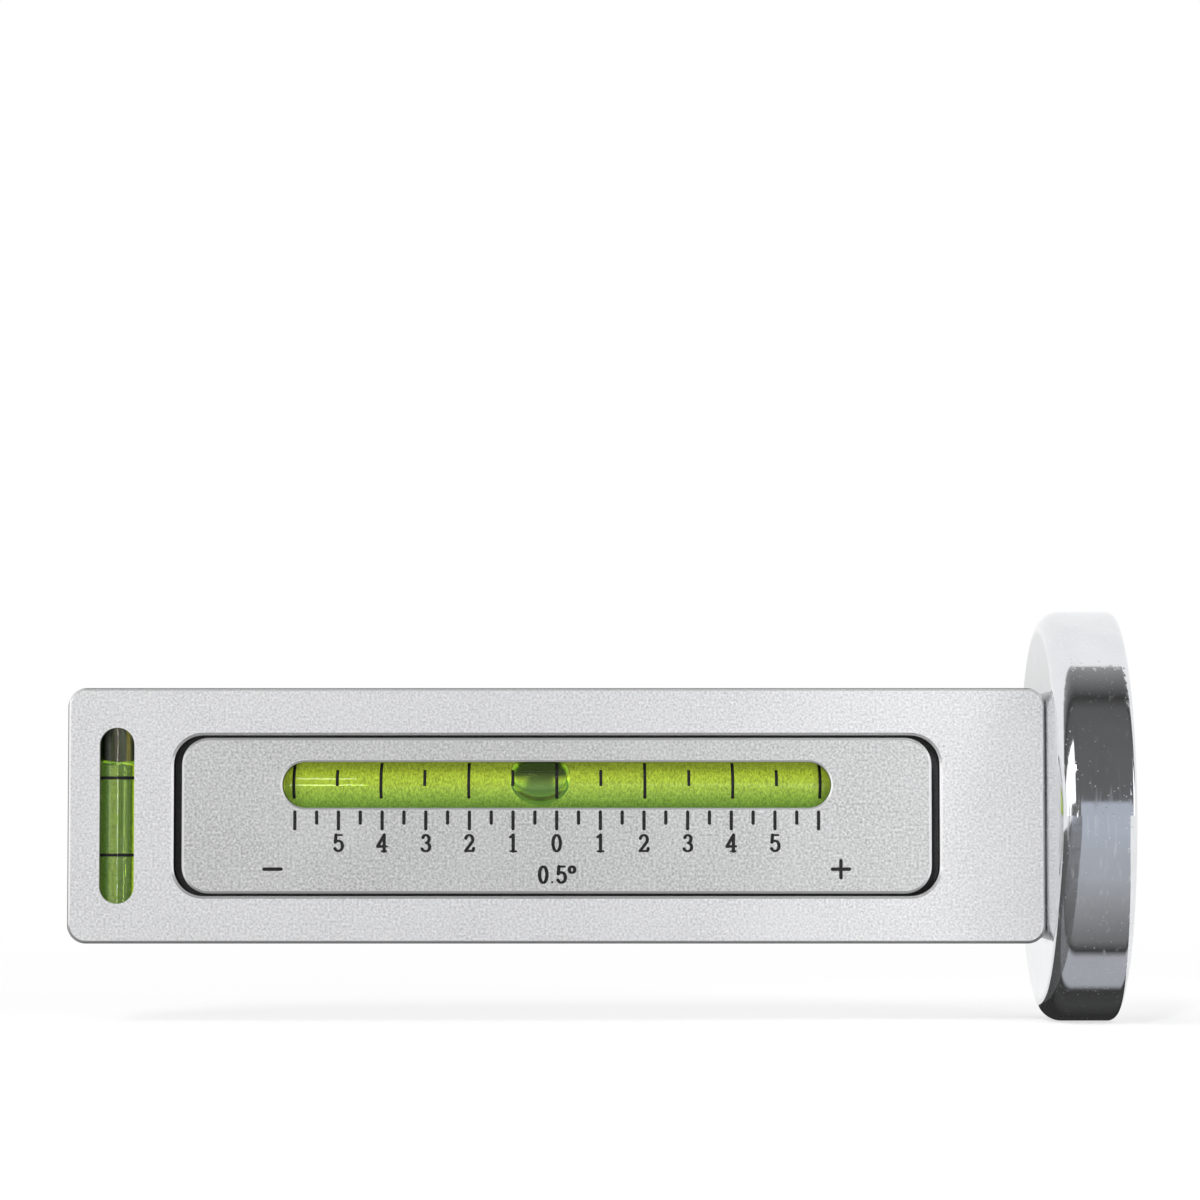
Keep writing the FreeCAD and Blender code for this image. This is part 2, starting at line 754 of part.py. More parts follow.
def drill_plate_pivots(body):
    """A blind hole in each long edge of the caster plate for its pivot pin."""
    for name, side in (("LowerPivot", -1), ("UpperPivot", 1)):
        hole = new_sketch(
            body,
            name,
            "up",
            x="Places.centre_x",
            y="Places.pivot_y",
            z="%d * Places.plate_height / 2" % side,
        )
        draw_circle(hole, "Sizes.pivot_pin_diameter + 2 * Sizes.running_gap")
        pocket(body, hole, "Sizes.pivot_hole_depth", from_far_side=side < 0)


def cut_adjuster_seat(body):
    """The clearance hole of the zeroing screw and the conical seat of its washer."""
    hole = new_sketch(body, "AdjusterClearance", "deep", x="Places.adjuster_x", y="Places.plate_outer_y")
    draw_circle(hole, "Sizes.adjuster_hole_diameter")
    pocket(body, hole, "Sizes.plate_thickness", from_far_side=True)
    outer = place("plate_outer_y")
    radius = size("adjuster_hole_diameter") / 2
    break_edges(
        body,
        "Chamfer",
        "Places.seat_depth",
        lambda edge: lies_at(edge, 1, outer) and has_radius(edge, radius),
    )


def has_radius(edge, radius):
    """Whether an edge is round with this radius."""
    curve = edge.Curve
    return isinstance(curve, Part.Circle) and abs(curve.Radius - radius) < size("match_tolerance")


# %% Long vials


def bent_rod(name, radius, start, sweep):
    """A round rod bent about Z, from one angle through a sweep, about local +X."""
    rod = primitive("Torus", name, Radius1="Sizes.bend_radius", Radius2=radius, Angle3=sweep)
    rod.setExpression(".Placement.Rotation.Angle", start)
    return rod


def stand_vial(piece, side):
    """Moves a bent piece from about its bend centre to behind the plate of one side."""
    rise = "Sizes.camber_window_rise" if side == CAMBER_SIDE else "-Sizes.caster_window_drop"
    y = "%d * Places.bend_centre_y" % side
    return put(piece, "Places.centre_x", y, rise, AXIS_Z, 90 * side)


def vial_shape(name, radius, side):
    """The outer shape of a long vial in its place, for the seat that it lies in."""
    rod = primitive("Torus", name + "Rod", Radius1="Sizes.bend_radius", Radius2=radius)
    rod.setExpression("Angle3", "Places.vial_sweep")
    rod.setExpression(".Placement.Rotation.Angle", "-Places.vial_sweep / 2")
    return stand_vial(group(name, [rod]), side)


def build_long_vial(name, side, reading):
    """A bent vial, closed at one end and plugged at the other, with its spirit and bubble."""
    half = "Places.vial_sweep / 2"
    outer = bent_rod(name + "Outer", "Places.vial_radius", "-" + half, "Places.vial_sweep")
    bore_sweep = "Places.vial_sweep - Places.end_wall_angle"
    bore_start = "Places.end_wall_angle - " + half
    bore = bent_rod(name + "Bore", "Places.bore_radius", bore_start, bore_sweep)
    node(stand_vial(cut(name + "Tube", outer, bore), side), name + "_vial")

    plug_radius = "Places.bore_radius - Sizes.bond_gap"
    plug = bent_rod(name + "PlugRod", plug_radius, half + " - Places.plug_angle", "Places.plug_angle")
    node(stand_vial(group(name + "Plug", [plug]), side), name + "_vial_plug")

    spirit_sweep = bore_sweep + " - Places.plug_angle - 2 * Places.gap_angle"
    spirit_start = bore_start + " + Places.gap_angle"
    body = bent_rod(name + "SpiritRod", plug_radius, spirit_start, spirit_sweep)
    cavity = bubble_shape(name + "Cavity", reading, "Sizes.bubble_cavity_gap")
    node(stand_vial(cut(name + "Spirit", body, cavity), side), name + "_spirit")

    bubble = bubble_shape(name + "BubbleShape", reading)
    node(stand_vial(group(name + "Bubble", [bubble]), side), name + "_bubble")


def grown(formula, margin):
    """A formula with a margin added to it, where there is one."""
    return "%s + %s" % (formula, margin) if margin else formula


def bubble_shape(name, reading, margin=None):
    """The bubble of a long vial, against the upper side of the bore, grown by any margin."""
    bubble = primitive(
        "Ellipsoid",
        name,
        Radius1=grown("Sizes.bubble_height / 2", margin),
        Radius2=grown("Sizes.bubble_width / 2", margin),
        Radius3=grown("Sizes.bubble_length / 2", margin),
    )
    put(
        bubble,
        "Sizes.bend_radius * cos(%s)" % reading,
        "Sizes.bend_radius * sin(%s)" % reading,
        "Places.bubble_rise",
    )
    bubble.setExpression(".Placement.Rotation.Angle", reading)
    return bubble


# %% Cross vials


def build_cross_vial(name, side):
    """A straight vial with a barrel bore, its plug, spirit and bubble, and the bore's seal."""

    def stand(piece, z="0"):
        return put(piece, "Places.cross_x", "%d * Places.cross_y" % side, z)

    outer = primitive(
        "Cylinder", name + "Outer", Radius="Places.cross_radius", Height="Places.cross_vial_length"
    )
    put(outer, z="-Places.cross_vial_length / 2")
    mouth_radius = "Sizes.cross_bore_end / 2"
    mouth = primitive(
        "Cylinder",
        name + "Mouth",
        Radius=mouth_radius,
        Height="Sizes.cross_plug_length + Sizes.cross_end_wall",
    )
    put(mouth, z="Places.cross_plug_bottom")
    tube = cut(name + "Tube", cut(name + "Barrelled", outer, barrel(name + "Barrel")), mouth)
    node(stand(tube), name + "_cross_vial")

    plug = primitive(
        "Cylinder",
        name + "Plug",
        Radius=mouth_radius + " - Sizes.bond_gap",
        Height="Sizes.cross_plug_length - Sizes.bond_gap",
    )
    node(stand(plug, "Places.cross_plug_bottom + Sizes.bond_gap"), name + "_cross_vial_plug")

    below = primitive(
        "Cylinder",
        name + "Level",
        Radius="Sizes.cross_bore_middle",
        Height="Places.meniscus_z + Places.cross_bore_half - Sizes.bond_gap",
    )
    put(below, z="Sizes.bond_gap - Places.cross_bore_half")
    spirit_radius = "Sizes.cross_bore_middle / 2 - Sizes.bond_gap"
    spirit = common(name + "Spirit", barrel(name + "SpiritBarrel", spirit_radius), below)
    node(stand(spirit), name + "_cross_spirit")

    bubble = primitive(
        "Cylinder",
        name + "Bubble",
        Radius="Places.cross_bubble_radius",
        Height="Sizes.cross_bubble_length",
    )
    node(stand(bubble, "Places.cross_bubble_top - Sizes.cross_bubble_length"), name + "_cross_bubble")

    seal = primitive(
        "Cylinder", name + "Seal", Radius="Places.cross_radius", Height="Places.cross_seal_length"
    )
    node(stand(seal, "-Sizes.bar_height / 2"), name + "_cross_seal")


def barrel(name, radius="Sizes.cross_bore_middle / 2"):
    """A barrel: widest at mid height, and cut square at both ends of the bore."""
    long_shape = primitive(
        "Ellipsoid",
        name + "Long",
        Radius1="Places.cross_bore_long_radius",
        Radius2=radius,
        Radius3=radius,
    )
    ends = primitive(
        "Cylinder",
        name + "Ends",
        Radius="Sizes.cross_bore_middle",
        Height="2 * Places.cross_bore_half",
    )
    put(ends, z="-Places.cross_bore_half")
    return common(name, long_shape, ends)


# %% Fasteners and the zeroing screw


def build_plate_screws():
    """Four slotted screws that reach through the bar into the camber plate."""
    screws = []
    for number, (x, z) in enumerate(plate_screw_places(), start=1):
        screw = new_body("PlateScrew%d" % number)
        outline = new_sketch(screw, "ScrewOutline%d" % number, "up")
        length = "Places.plate_screw_seat_y - Places.plate_screw_tip_y"
        draw_outline(
            outline,
            [
                ("0", "0"),
                ("Sizes.plate_screw_head_height", "0"),
                ("Sizes.plate_screw_head_height", "Sizes.plate_screw_head_diameter / 2"),
                ("0", "Sizes.plate_screw_head_diameter / 2"),
            ],
        )
        turn(screw, outline)
        shank = new_sketch(screw, "ScrewShank%d" % number, "across")
        draw_circle(shank, "Sizes.plate_screw_diameter")
        pad(screw, shank, length).Reversed = True
        slot = new_sketch(
            screw, "ScrewSlot%d" % number, "across", x="Sizes.plate_screw_head_height"
        )
        slot_length = "Sizes.plate_screw_head_diameter + 2 * Sizes.plate_screw_slot_width"
        draw_slot(slot, slot_length, "Sizes.plate_screw_slot_width")
        pocket(screw, slot, "Sizes.plate_screw_slot_depth")
        screws.append(put(screw, x, "Places.plate_screw_seat_y", z, AXIS_Z, 90))
    return node(group("PlateScrews", screws), "camber_plate_screws")


def build_pivot_pins():
    """Two dowels, one through each rail, with their ends in the caster plate's edges."""
    inner = "(Places.plate_height / 2 - Sizes.pivot_hole_depth + Sizes.pivot_end_gap)"
    outer = "(Sizes.bar_height / 2 - Sizes.pivot_pin_inset)"
    pins = []
    for name, start in (("UpperPin", inner), ("LowerPin", "-" + outer)):
        pin = primitive(
            "Cylinder",
            name,
            Radius="Sizes.pivot_pin_diameter / 2",
            Height="%s - %s" % (outer, inner),
        )
        pins.append(put(pin, "Places.centre_x", "Places.pivot_y", start))
    return node(group("PivotPins", pins), "pivot_pins")


def build_thrust_washer():
    """A washer with a domed underside, which lets the plate rock under the knob."""
    dome = primitive("Sphere", "WasherDome", Radius="Sizes.washer_dome_radius")
    put(dome, "Places.adjuster_x", "Places.dome_y")
    slab = primitive(
        "Cylinder",
        "WasherSlab",
        Radius="Sizes.washer_dome_radius",
        Height="Sizes.washer_dome_radius",
    )
    put(slab, "Places.adjuster_x", "Places.washer_top_y", axis=AXIS_X, angle=90)
    hole = primitive(
        "Cylinder",
        "WasherHole",
        Radius="Sizes.adjuster_diameter / 2 + Sizes.running_gap",
        Height="4 * Sizes.washer_dome_radius",
    )
    put(
        hole,
        "Places.adjuster_x",
        "Places.dome_y + 2 * Sizes.washer_dome_radius",
        axis=AXIS_X,
        angle=90,
    )
    return node(cut("ThrustWasher", common("DomedSlab", dome, slab), hole), "thrust_washer")


def build_adjusting_screw():
    """The threaded shank, from inside the knob down into the bar."""
    screw = primitive(
        "Cylinder",
        "AdjustingScrew",
        Radius="Sizes.adjuster_diameter / 2",
        Height="Places.knob_bottom_y + Sizes.knob_height - Sizes.knob_top_wall"
        " - Sizes.bond_gap - Places.adjuster_tip_y",
    )
    put(screw, "Places.adjuster_x", "Places.adjuster_tip_y", axis=AXIS_X, angle=-90)
    return node(screw, "adjusting_screw")


def build_knob():
    """A fluted knob that is moulded over the head of the screw."""
    body = new_body("KnobBody")
    outline = new_sketch(body, "KnobOutline", "up")
    draw_outline(
        outline,
        [
            ("0", "0"),
            ("Sizes.knob_height", "0"),
            ("Sizes.knob_height", "Sizes.knob_diameter / 2"),
            ("0", "Sizes.knob_diameter / 2"),
        ],
    )
    turn(body, outline)
    radius = size("knob_diameter") / 2
    break_edges(body, "Chamfer", "Sizes.knob_chamfer", lambda edge: has_radius(edge, radius))
    flute = new_sketch(body, "Flute", "across", x="Sizes.knob_height", z="Sizes.knob_diameter / 2")
    draw_circle(flute, "2 * Sizes.knob_flute_radius")
    first = pocket(body, flute, "Sizes.knob_height")
    ring = body.newObject("PartDesign::PolarPattern", "Flutes")
    ring.Originals = [first]
    ring.Axis = (outline, ["H_Axis"])
    ring.Angle = 360
    ring.setExpression("Occurrences", "Sizes.knob_flutes")
    body.Tip = ring
    document.recompute()
    bore = new_sketch(body, "KnobBore", "across")
    draw_circle(bore, "Sizes.adjuster_diameter + 2 * Sizes.bond_gap")
    pocket(body, bore, "Sizes.knob_height - Sizes.knob_top_wall", from_far_side=True)
    put(body, "Places.adjuster_x", "Places.knob_bottom_y", axis=AXIS_Z, angle=90)
    return node(body, "adjusting_knob")


def arc_between(start, tangent, reach, end):
    """The round arc from start to end that leaves along the tangent, which meets its corner at reach."""
    corner = start + tangent * reach
    middle = (start + end) * 0.5
    half_chord = (end - start).Length / 2
    rise = (corner - middle).Length
    sagitta = half_chord * math.tan(math.atan2(rise, half_chord) / 2)
    top = middle + (corner - middle) * (sagitta / rise)
    return Part.Arc(start, top, end).toShape()


def biarc(start, start_tangent, end, end_tangent):
    """Two round arcs that join two points and keep both tangents."""
    chord = end - start
    turn_share = 2 * (start_tangent.dot(end_tangent) - 1)
    along = -2 * chord.dot(start_tangent + end_tangent)
    root = math.sqrt(along * along - 4 * turn_share * chord.dot(chord))
    reach = (-along - root) / (2 * turn_share)
    joint = (start + start_tangent * reach + end - end_tangent * reach) * 0.5
    joint_tangent = (end - end_tangent * reach - joint).normalize()
    return [
        arc_between(start, start_tangent, reach, joint),
        arc_between(joint, joint_tangent, reach, end),
    ]


def coil_edges(radius, length, turns, steps_per_turn=4):
    """Tangent arcs along a helix about Z, a quarter turn in each pair."""

    def point(angle):
        rise = length * angle / (2 * math.pi * turns)
        return FreeCAD.Vector(radius * math.cos(angle), radius * math.sin(angle), rise)

    def tangent(angle):
        climb = length / (2 * math.pi * turns)
        flat = FreeCAD.Vector(-radius * math.sin(angle), radius * math.cos(angle), climb)
        return flat.normalize()

    count = turns * steps_per_turn
    angles = [2 * math.pi * turns * step / count for step in range(count + 1)]
    edges = []
    for first, second in zip(angles, angles[1:]):
        edges += biarc(point(first), tangent(first), point(second), tangent(second))
    return edges


def build_return_spring():
    """The coil spring that pushes the plate out against the knob, in one unbroken wire."""
    wire = size("spring_wire")
    room = place("plate_inner_y") - place("spring_floor_y") - 2 * size("spring_end_gap")
    turns = int(size("spring_turns"))
    length = room - wire
    path = Part.Wire(coil_edges(size("spring_diameter") / 2, length, turns))
    first = path.Edges[0]
    start_tangent = first.tangentAt(first.FirstParameter)
    circle = Part.Circle(first.valueAt(first.FirstParameter), start_tangent, wire / 2)
    section = Part.Wire([circle.toShape()])
    shell = Part.BRepOffsetAPI.MakePipeShell(path)
    shell.add(section)
    shell.build()
    shell.makeSolid()
    spring = document.addObject("Part::Feature", "ReturnSpring")
    spring.Shape = shell.shape()
    seat = place("spring_floor_y") + size("spring_end_gap") + wire / 2
    spring.Placement = FreeCAD.Placement(
        FreeCAD.Vector(place("adjuster_x"), seat, 0),
        FreeCAD.Rotation(FreeCAD.Vector(*AXIS_X), -90),
    )
    print("return spring: least gap between turns %.2f mm" % (length / turns - wire))
    return node(spring, "return_spring")


# %% Pot magnet


def about_contact_axis(piece, depth):
    """Stands an upright piece on the magnet's axis, with its base at a depth from the face."""
    return put(piece, "-(%s)" % depth, axis=AXIS_Y, angle=-90)


def disc(name, radius, height):
    """A plain disc or rod."""
    return primitive("Cylinder", name, Radius=radius, Height=height)


def ring(name, outer, inner, height):
    """A plain ring."""
    return cut(name, disc(name + "Outer", outer, height), disc(name + "Inner", inner, height))


def build_cup():
    """The drawn steel cup, round at its back and at its rim, with a hole for the stud."""
    body = new_body("CupBody")
    outline = new_sketch(body, "CupOutline", "up")
    draw_outline(
        outline,
        [
            ("0", "Places.cup_radius"),
            ("Sizes.cup_thickness", "Places.cup_radius"),
            ("Sizes.cup_thickness", "Places.stud_hole_radius"),
            ("Places.cup_depth", "Places.stud_hole_radius"),
            ("Places.cup_depth", "Places.cup_bore_radius"),
            ("0", "Places.cup_bore_radius"),
        ],
    )
    turn(body, outline)
    outer_radius = place("cup_radius")
    bore_radius = place("cup_bore_radius")
    back = size("cup_thickness")
    floor = place("cup_depth")
    for length, radius, depth in (
        ("Sizes.cup_back_round", outer_radius, back),
        ("Sizes.cup_rim_round", outer_radius, 0),
        ("Sizes.cup_inner_round", bore_radius, floor),
    ):
        break_edges(
            body,
            "Fillet",
            length,
            lambda edge, radius=radius, depth=depth: has_radius(edge, radius)
            and lies_at(edge, 0, depth),
        )
    put(body, axis=AXIS_Z, angle=180)
    return node(body, "magnet_cup")


def build_core():
    """The steel pole in the middle, with a blind threaded hole in its back."""
    pole = disc("CorePole", "Sizes.core_diameter / 2", "Places.cup_depth - Sizes.bond_gap")
    rounded = document.addObject("Part::Chamfer", "CoreEdge")
    rounded.Base = pole
    document.recompute()
    face_edges = [
        number
        for number, edge in enumerate(pole.Shape.Edges, start=1)
        if has_radius(edge, size("core_diameter") / 2) and lies_at(edge, 2, 0)
    ]
    bevel = size("core_edge_chamfer")
    rounded.Edges = [(number, bevel, bevel) for number in face_edges]
    hole = disc("CoreThread", "Places.stud_hole_radius", "Sizes.stud_core_depth")
    put(hole, z="Places.cup_depth - Sizes.stud_core_depth")
    return node(about_contact_axis(cut("Core", rounded, hole), "0"), "magnet_core")


def build_ring_magnet():
    """The ferrite ring between the pole and the cup's wall."""
    thickness = "Places.cup_depth - Sizes.magnet_recess - Sizes.bond_gap"
    magnet = ring("RingMagnet", "Places.ring_outer_radius", "Places.ring_inner_radius", thickness)
    return node(about_contact_axis(magnet, "Sizes.magnet_recess"), "ring_magnet")


def build_filler():
    """Cast resin in the two gaps beside the ferrite ring."""
    height = "Places.cup_depth - Sizes.filler_recess - Sizes.cup_inner_round"
    outer = ring(
        "OuterFiller",
        "Places.cup_bore_radius - Sizes.bond_gap",
        "Places.ring_outer_radius + Sizes.bond_gap",
        height,
    )
    inner = ring(
        "InnerFiller",
        "Places.ring_inner_radius - Sizes.bond_gap",
        "Sizes.core_diameter / 2 + Sizes.bond_gap",
        height,
    )
    filler = group("Filler", [outer, inner])
    return node(about_contact_axis(filler, "Sizes.filler_recess"), "magnet_filler")


def build_stud():
    """The stud that joins the pole, through the cup, to the bar's end."""
    start = "(Places.cup_depth - Sizes.stud_core_depth + Sizes.stud_tip_gap)"
    reach = "Sizes.cup_thickness + Sizes.stud_bar_depth - " + start
    stud = disc("Stud", "Sizes.stud_diameter / 2", reach)
    return node(about_contact_axis(stud, start), "magnet_stud")


# %% The whole gauge


def check_and_export():
    """Makes sure that every object is sound, and only then writes each node."""
    document.recompute()
    for item in document.Objects:
        if "Invalid" in item.State or "Error" in item.State:
            raise ValueError("%s has not been made: %s" % (item.Name, item.State))
    for piece in nodes:
        if piece.Shape.isNull() or not piece.Shape.isValid():
            raise ValueError("%s has no sound shape" % piece.Label)
    os.makedirs("parts", exist_ok=True)
    for piece in nodes:
        piece.Shape.exportStep("parts/%s.step" % piece.Label)
    print("%d nodes" % len(nodes))


def build_gauge():
    """Builds every piece and writes the nodes."""
    fill_sheet(sizes_sheet, {**SIZES, **ANGLES, **COUNTS}, "")
    fill_sheet(places_sheet, PLACES, "=")
    document.recompute()
    build_bar()
    build_camber_plate()
    build_caster_plate()
    build_long_vial("camber", CAMBER_SIDE, "Sizes.camber_reading")
    build_long_vial("caster", CASTER_SIDE, "Sizes.caster_reading")
    build_cross_vial("front", CAMBER_SIDE)
    build_cross_vial("rear", CASTER_SIDE)
    build_plate_screws()
    build_pivot_pins()
    build_thrust_washer()
    build_adjusting_screw()
    build_knob()
    build_return_spring()
    build_cup()
    build_core()
    build_ring_magnet()
    build_filler()
    build_stud()
    check_and_export()


build_gauge()
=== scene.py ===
# %% [markdown]
# # A magnetic camber and caster gauge
# This lesson dresses a wheel alignment gauge. Its construction comes ready made, as a frame of
# separate metal and plastic pieces at their real size. What is left is what the eye notices: the
# bead-blasted bar, the printed scale, the glowing green vials with their bubbles, and the chrome.
#
# The frame stays as it is. We only give its pieces finishes, and model what a plain solid cannot
# show: clear tubes with liquid in them, and thin printed marks.

# %% The frame
import json
import math

import bmesh
import bpy
from mathutils import Matrix, Vector


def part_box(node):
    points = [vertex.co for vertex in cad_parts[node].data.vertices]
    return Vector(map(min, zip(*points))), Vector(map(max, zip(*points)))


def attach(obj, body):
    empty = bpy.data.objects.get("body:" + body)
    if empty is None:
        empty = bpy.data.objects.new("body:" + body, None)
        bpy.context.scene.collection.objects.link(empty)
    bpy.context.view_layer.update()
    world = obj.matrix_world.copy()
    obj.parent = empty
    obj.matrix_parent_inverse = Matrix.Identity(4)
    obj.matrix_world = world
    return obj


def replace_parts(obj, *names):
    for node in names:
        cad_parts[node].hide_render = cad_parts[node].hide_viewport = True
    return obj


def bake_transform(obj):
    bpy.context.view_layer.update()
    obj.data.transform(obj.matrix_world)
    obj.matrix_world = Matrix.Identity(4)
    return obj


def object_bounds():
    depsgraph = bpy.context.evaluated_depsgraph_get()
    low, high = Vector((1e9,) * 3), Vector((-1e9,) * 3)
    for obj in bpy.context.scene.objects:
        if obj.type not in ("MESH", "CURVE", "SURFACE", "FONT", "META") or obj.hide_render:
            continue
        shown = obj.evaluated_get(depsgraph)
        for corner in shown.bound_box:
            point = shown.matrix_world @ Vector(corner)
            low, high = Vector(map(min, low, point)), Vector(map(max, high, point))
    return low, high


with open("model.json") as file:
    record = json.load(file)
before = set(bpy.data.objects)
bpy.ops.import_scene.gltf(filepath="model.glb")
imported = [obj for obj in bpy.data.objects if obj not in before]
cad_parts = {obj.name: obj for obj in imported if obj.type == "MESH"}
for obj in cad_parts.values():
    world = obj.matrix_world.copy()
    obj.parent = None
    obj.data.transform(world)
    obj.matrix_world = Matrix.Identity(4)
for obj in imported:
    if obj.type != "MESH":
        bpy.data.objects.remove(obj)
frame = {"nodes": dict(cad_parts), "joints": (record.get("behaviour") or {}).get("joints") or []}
nodes = frame["nodes"]
cad_box = [list(corner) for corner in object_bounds()]
MM = 0.001
print("nodes in the frame:", len(nodes))

# %% [markdown]
# ## What the frame can tell us
# Every place below is read from the frame, so nothing has to be fitted by eye. A vial's box gives
# its axis and radius. The hinge that carries a bubble gives the centre that its vial is bent about.

# %% Places read from the frame
hinges = {joint["name"]: joint for joint in frame["joints"]}
plate_low, plate_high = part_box("camber_plate")
caster_low, caster_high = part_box("caster_plate")
bar_low, bar_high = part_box("bar")
SCALE_MIDDLE_X = (plate_low.x + plate_high.x) / 2
VIAL_WALL = 0.7 * MM


def read_long_vial(name, side, body):
    """The axis, bend and reach of one long vial. side is -1 on the camber side and 1 behind."""
    low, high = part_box(name + "_vial")
    bubble_low, bubble_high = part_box(name + "_bubble")
    radius = (high.z - low.z) / 2
    centre = Vector(hinges[name + "_bubble_travel"]["pos_m"])
    centre.z = (low.z + high.z) / 2
    crown_y = low.y + radius if side < 0 else high.y - radius
    bend = abs(crown_y - centre.y)
    half = math.degrees(math.asin((high.x - low.x) / 2 / (bend + radius)))
    reading = math.degrees(math.asin(((bubble_low.x + bubble_high.x) / 2 - centre.x) / bend))
    return {
        "name": name,
        "side": side,
        "body": body,
        "radius": radius,
        "bore": radius - VIAL_WALL,
        "centre": centre,
        "bend": bend,
        "half": half,
        "reading": reading,
        "bubble": (bubble_low, bubble_high),
    }


long_vials = [
    read_long_vial("camber", -1, "gauge"),
    read_long_vial("caster", 1, "caster_carrier"),
]
camber_vial, caster_vial = long_vials
for vial in long_vials:
    print(vial["name"], "bend %.1f mm, half sweep %.2f degrees" % (vial["bend"] / MM, vial["half"]))

# %% [markdown]
# ## Small helpers
# A new piece is always made in the same way: fill a bmesh, turn it into an object that sits at the
# origin, name the finish and say which body it moves with. One function does the last three, so
# that no piece is forgotten.


# %% Making a piece from a bmesh
def link_mesh(bm, name, material):
    """Turns a bmesh into an object at the origin, with one material."""
    mesh = bpy.data.meshes.new(name)
    bm.to_mesh(mesh)
    bm.free()
    mesh.materials.append(material)
    made = bpy.data.objects.new(name, mesh)
    bpy.context.scene.collection.objects.link(made)
    return made


def finish_piece(bm, name, material, body):
    """Turns a bmesh into a named piece that rides on a body of the frame, or on none as yet."""
    bmesh.ops.recalc_face_normals(bm, faces=bm.faces)
    piece = link_mesh(bm, name, material)
    for face in piece.data.polygons:
        face.use_smooth = True
    if body:
        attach(piece, body)
    return piece


def sharpen(piece, degrees=40):
    """Keeps a crisp line where faces meet at more than this angle."""
    piece.data.set_sharp_from_angle(angle=math.radians(degrees))
    return piece


def arc(centre, radii, first, last, count=12):
    """Points of an arc, with angles in degrees from the first axis towards the second."""
    points = []
    for step in range(count + 1):
        turn = math.radians(first + (last - first) * step / count)
        points.append((centre[0] + radii[0] * math.cos(turn), centre[1] + radii[1] * math.sin(turn)))
    return points


# %% [markdown]
# A material is a small machine of nodes. A socket knows which tree it is in, so a helper that gets
# a link can add its node to the right tree by itself. That keeps the recipes below short.


# %% Nodes and links
def join(output, target):
    """Links two sockets of one tree."""
    output.id_data.links.new(output, target)


def fill(socket, value):
    """Gives an input a link, or a value of its own."""
    if isinstance(value, bpy.types.NodeSocket):
        join(value, socket)
    else:
        socket.default_value = value


def add(tree, kind, **settings):
    """Adds a node, and sets its properties, values and links by name."""
    node = tree.nodes.new(kind)
    for key, value in settings.items():
        if hasattr(node, key):
            setattr(node, key, value)
        else:
            fill(node.inputs[key.replace("_", " ")], value)
    return node


def compute(operation, *values):
    """The result of one Math node. The first value is a link."""
    node = add(values[0].id_data, "ShaderNodeMath", operation=operation)
    for socket, value in zip(node.inputs, values):
        fill(socket, value)
    return node.outputs["Value"]


def product(*masks):
    """Masks multiplied with each other."""
    found = masks[0]
    for mask in masks[1:]:
        found = compute("MULTIPLY", found, mask)
    return found


def axis_of(vector, axis):
    """One coordinate of a vector."""
    return add(vector.id_data, "ShaderNodeSeparateXYZ", Vector=vector).outputs[axis]


def rescale(value, low, high, from_low=0.0, from_high=1.0):
    """Moves a mask into a range of its own."""
    node = add(
        value.id_data, "ShaderNodeMapRange",
        Value=value, From_Min=from_low, From_Max=from_high, To_Min=low, To_Max=high,
    )
    return node.outputs["Result"]


def mix_colour(mask, first, second):
    """A colour between two, each a link or a plain colour, by a mask."""
    blend = add(mask.id_data, "ShaderNodeMix", data_type="RGBA")
    join(mask, blend.inputs[0])
    for socket, value in ((blend.inputs[6], first), (blend.inputs[7], second)):
        fill(socket, value if isinstance(value, bpy.types.NodeSocket) else (*value, 1.0))
    return blend.outputs[2]


def colour_ramp(value, stops):
    """A colour ramp, whose stops are pairs of a place from 0 to 1 and a colour."""
    node = add(value.id_data, "ShaderNodeValToRGB", Fac=value)
    elements = node.color_ramp.elements
    while len(elements) < len(stops):
        elements.new(0.5)
    for element, (position, colour) in zip(elements, stops):
        element.position = position
        element.color = (*colour, 1.0)
    return node.outputs["Color"]


def grey(level, tint=0.0):
    """A grey, with a touch of blue."""
    return (level, level * (1 + tint / 3), level * (1 + tint))


# %% Starting a material
def new_material(name, **sockets):
    """A material with one Principled shader, and the object's own coordinates in metres."""
    material = bpy.data.materials.new(name)
    material.use_nodes = True
    shader = material.node_tree.nodes["Principled BSDF"]
    for key, value in sockets.items():
        fill(shader.inputs[key.replace("_", " ")], value)
    return material, shader, add(material.node_tree, "ShaderNodeTexCoord").outputs["Object"]


def feed(shader, **sockets):
    """Links masks and colours to a shader."""
    for key, value in sockets.items():
        join(value, shader.inputs[key.replace("_", " ")])


def add_bump(shader, height, depth, strength=1.0):
    """Lifts and sinks the surface by a height mask, whose full step is depth metres."""
    bump = add(shader.id_data, "ShaderNodeBump", Strength=strength, Distance=depth, Height=height)
    feed(shader, Normal=bump.outputs["Normal"])


# %% [markdown]
# ## Effects that several finishes share
# Blasting, scratches and worn edges come back on almost every metal piece, so each is a node group.
# A group gives out only masks and heights. The shader itself stays in the material.


# %% Starting a node group
def new_group(name, inputs, outputs):
    """An empty group with named sockets. Place is a vector, and the rest are numbers."""
    group = bpy.data.node_groups.new(name, "ShaderNodeTree")
    for names, way in ((inputs, "INPUT"), (outputs, "OUTPUT")):
        for socket in names:
            kind = "NodeSocketVector" if socket == "Place" else "NodeSocketFloat"
            group.interface.new_socket(socket, in_out=way, socket_type=kind)
    start = group.nodes.new("NodeGroupInput").outputs
    end = group.nodes.new("NodeGroupOutput").inputs
    return group, start, end


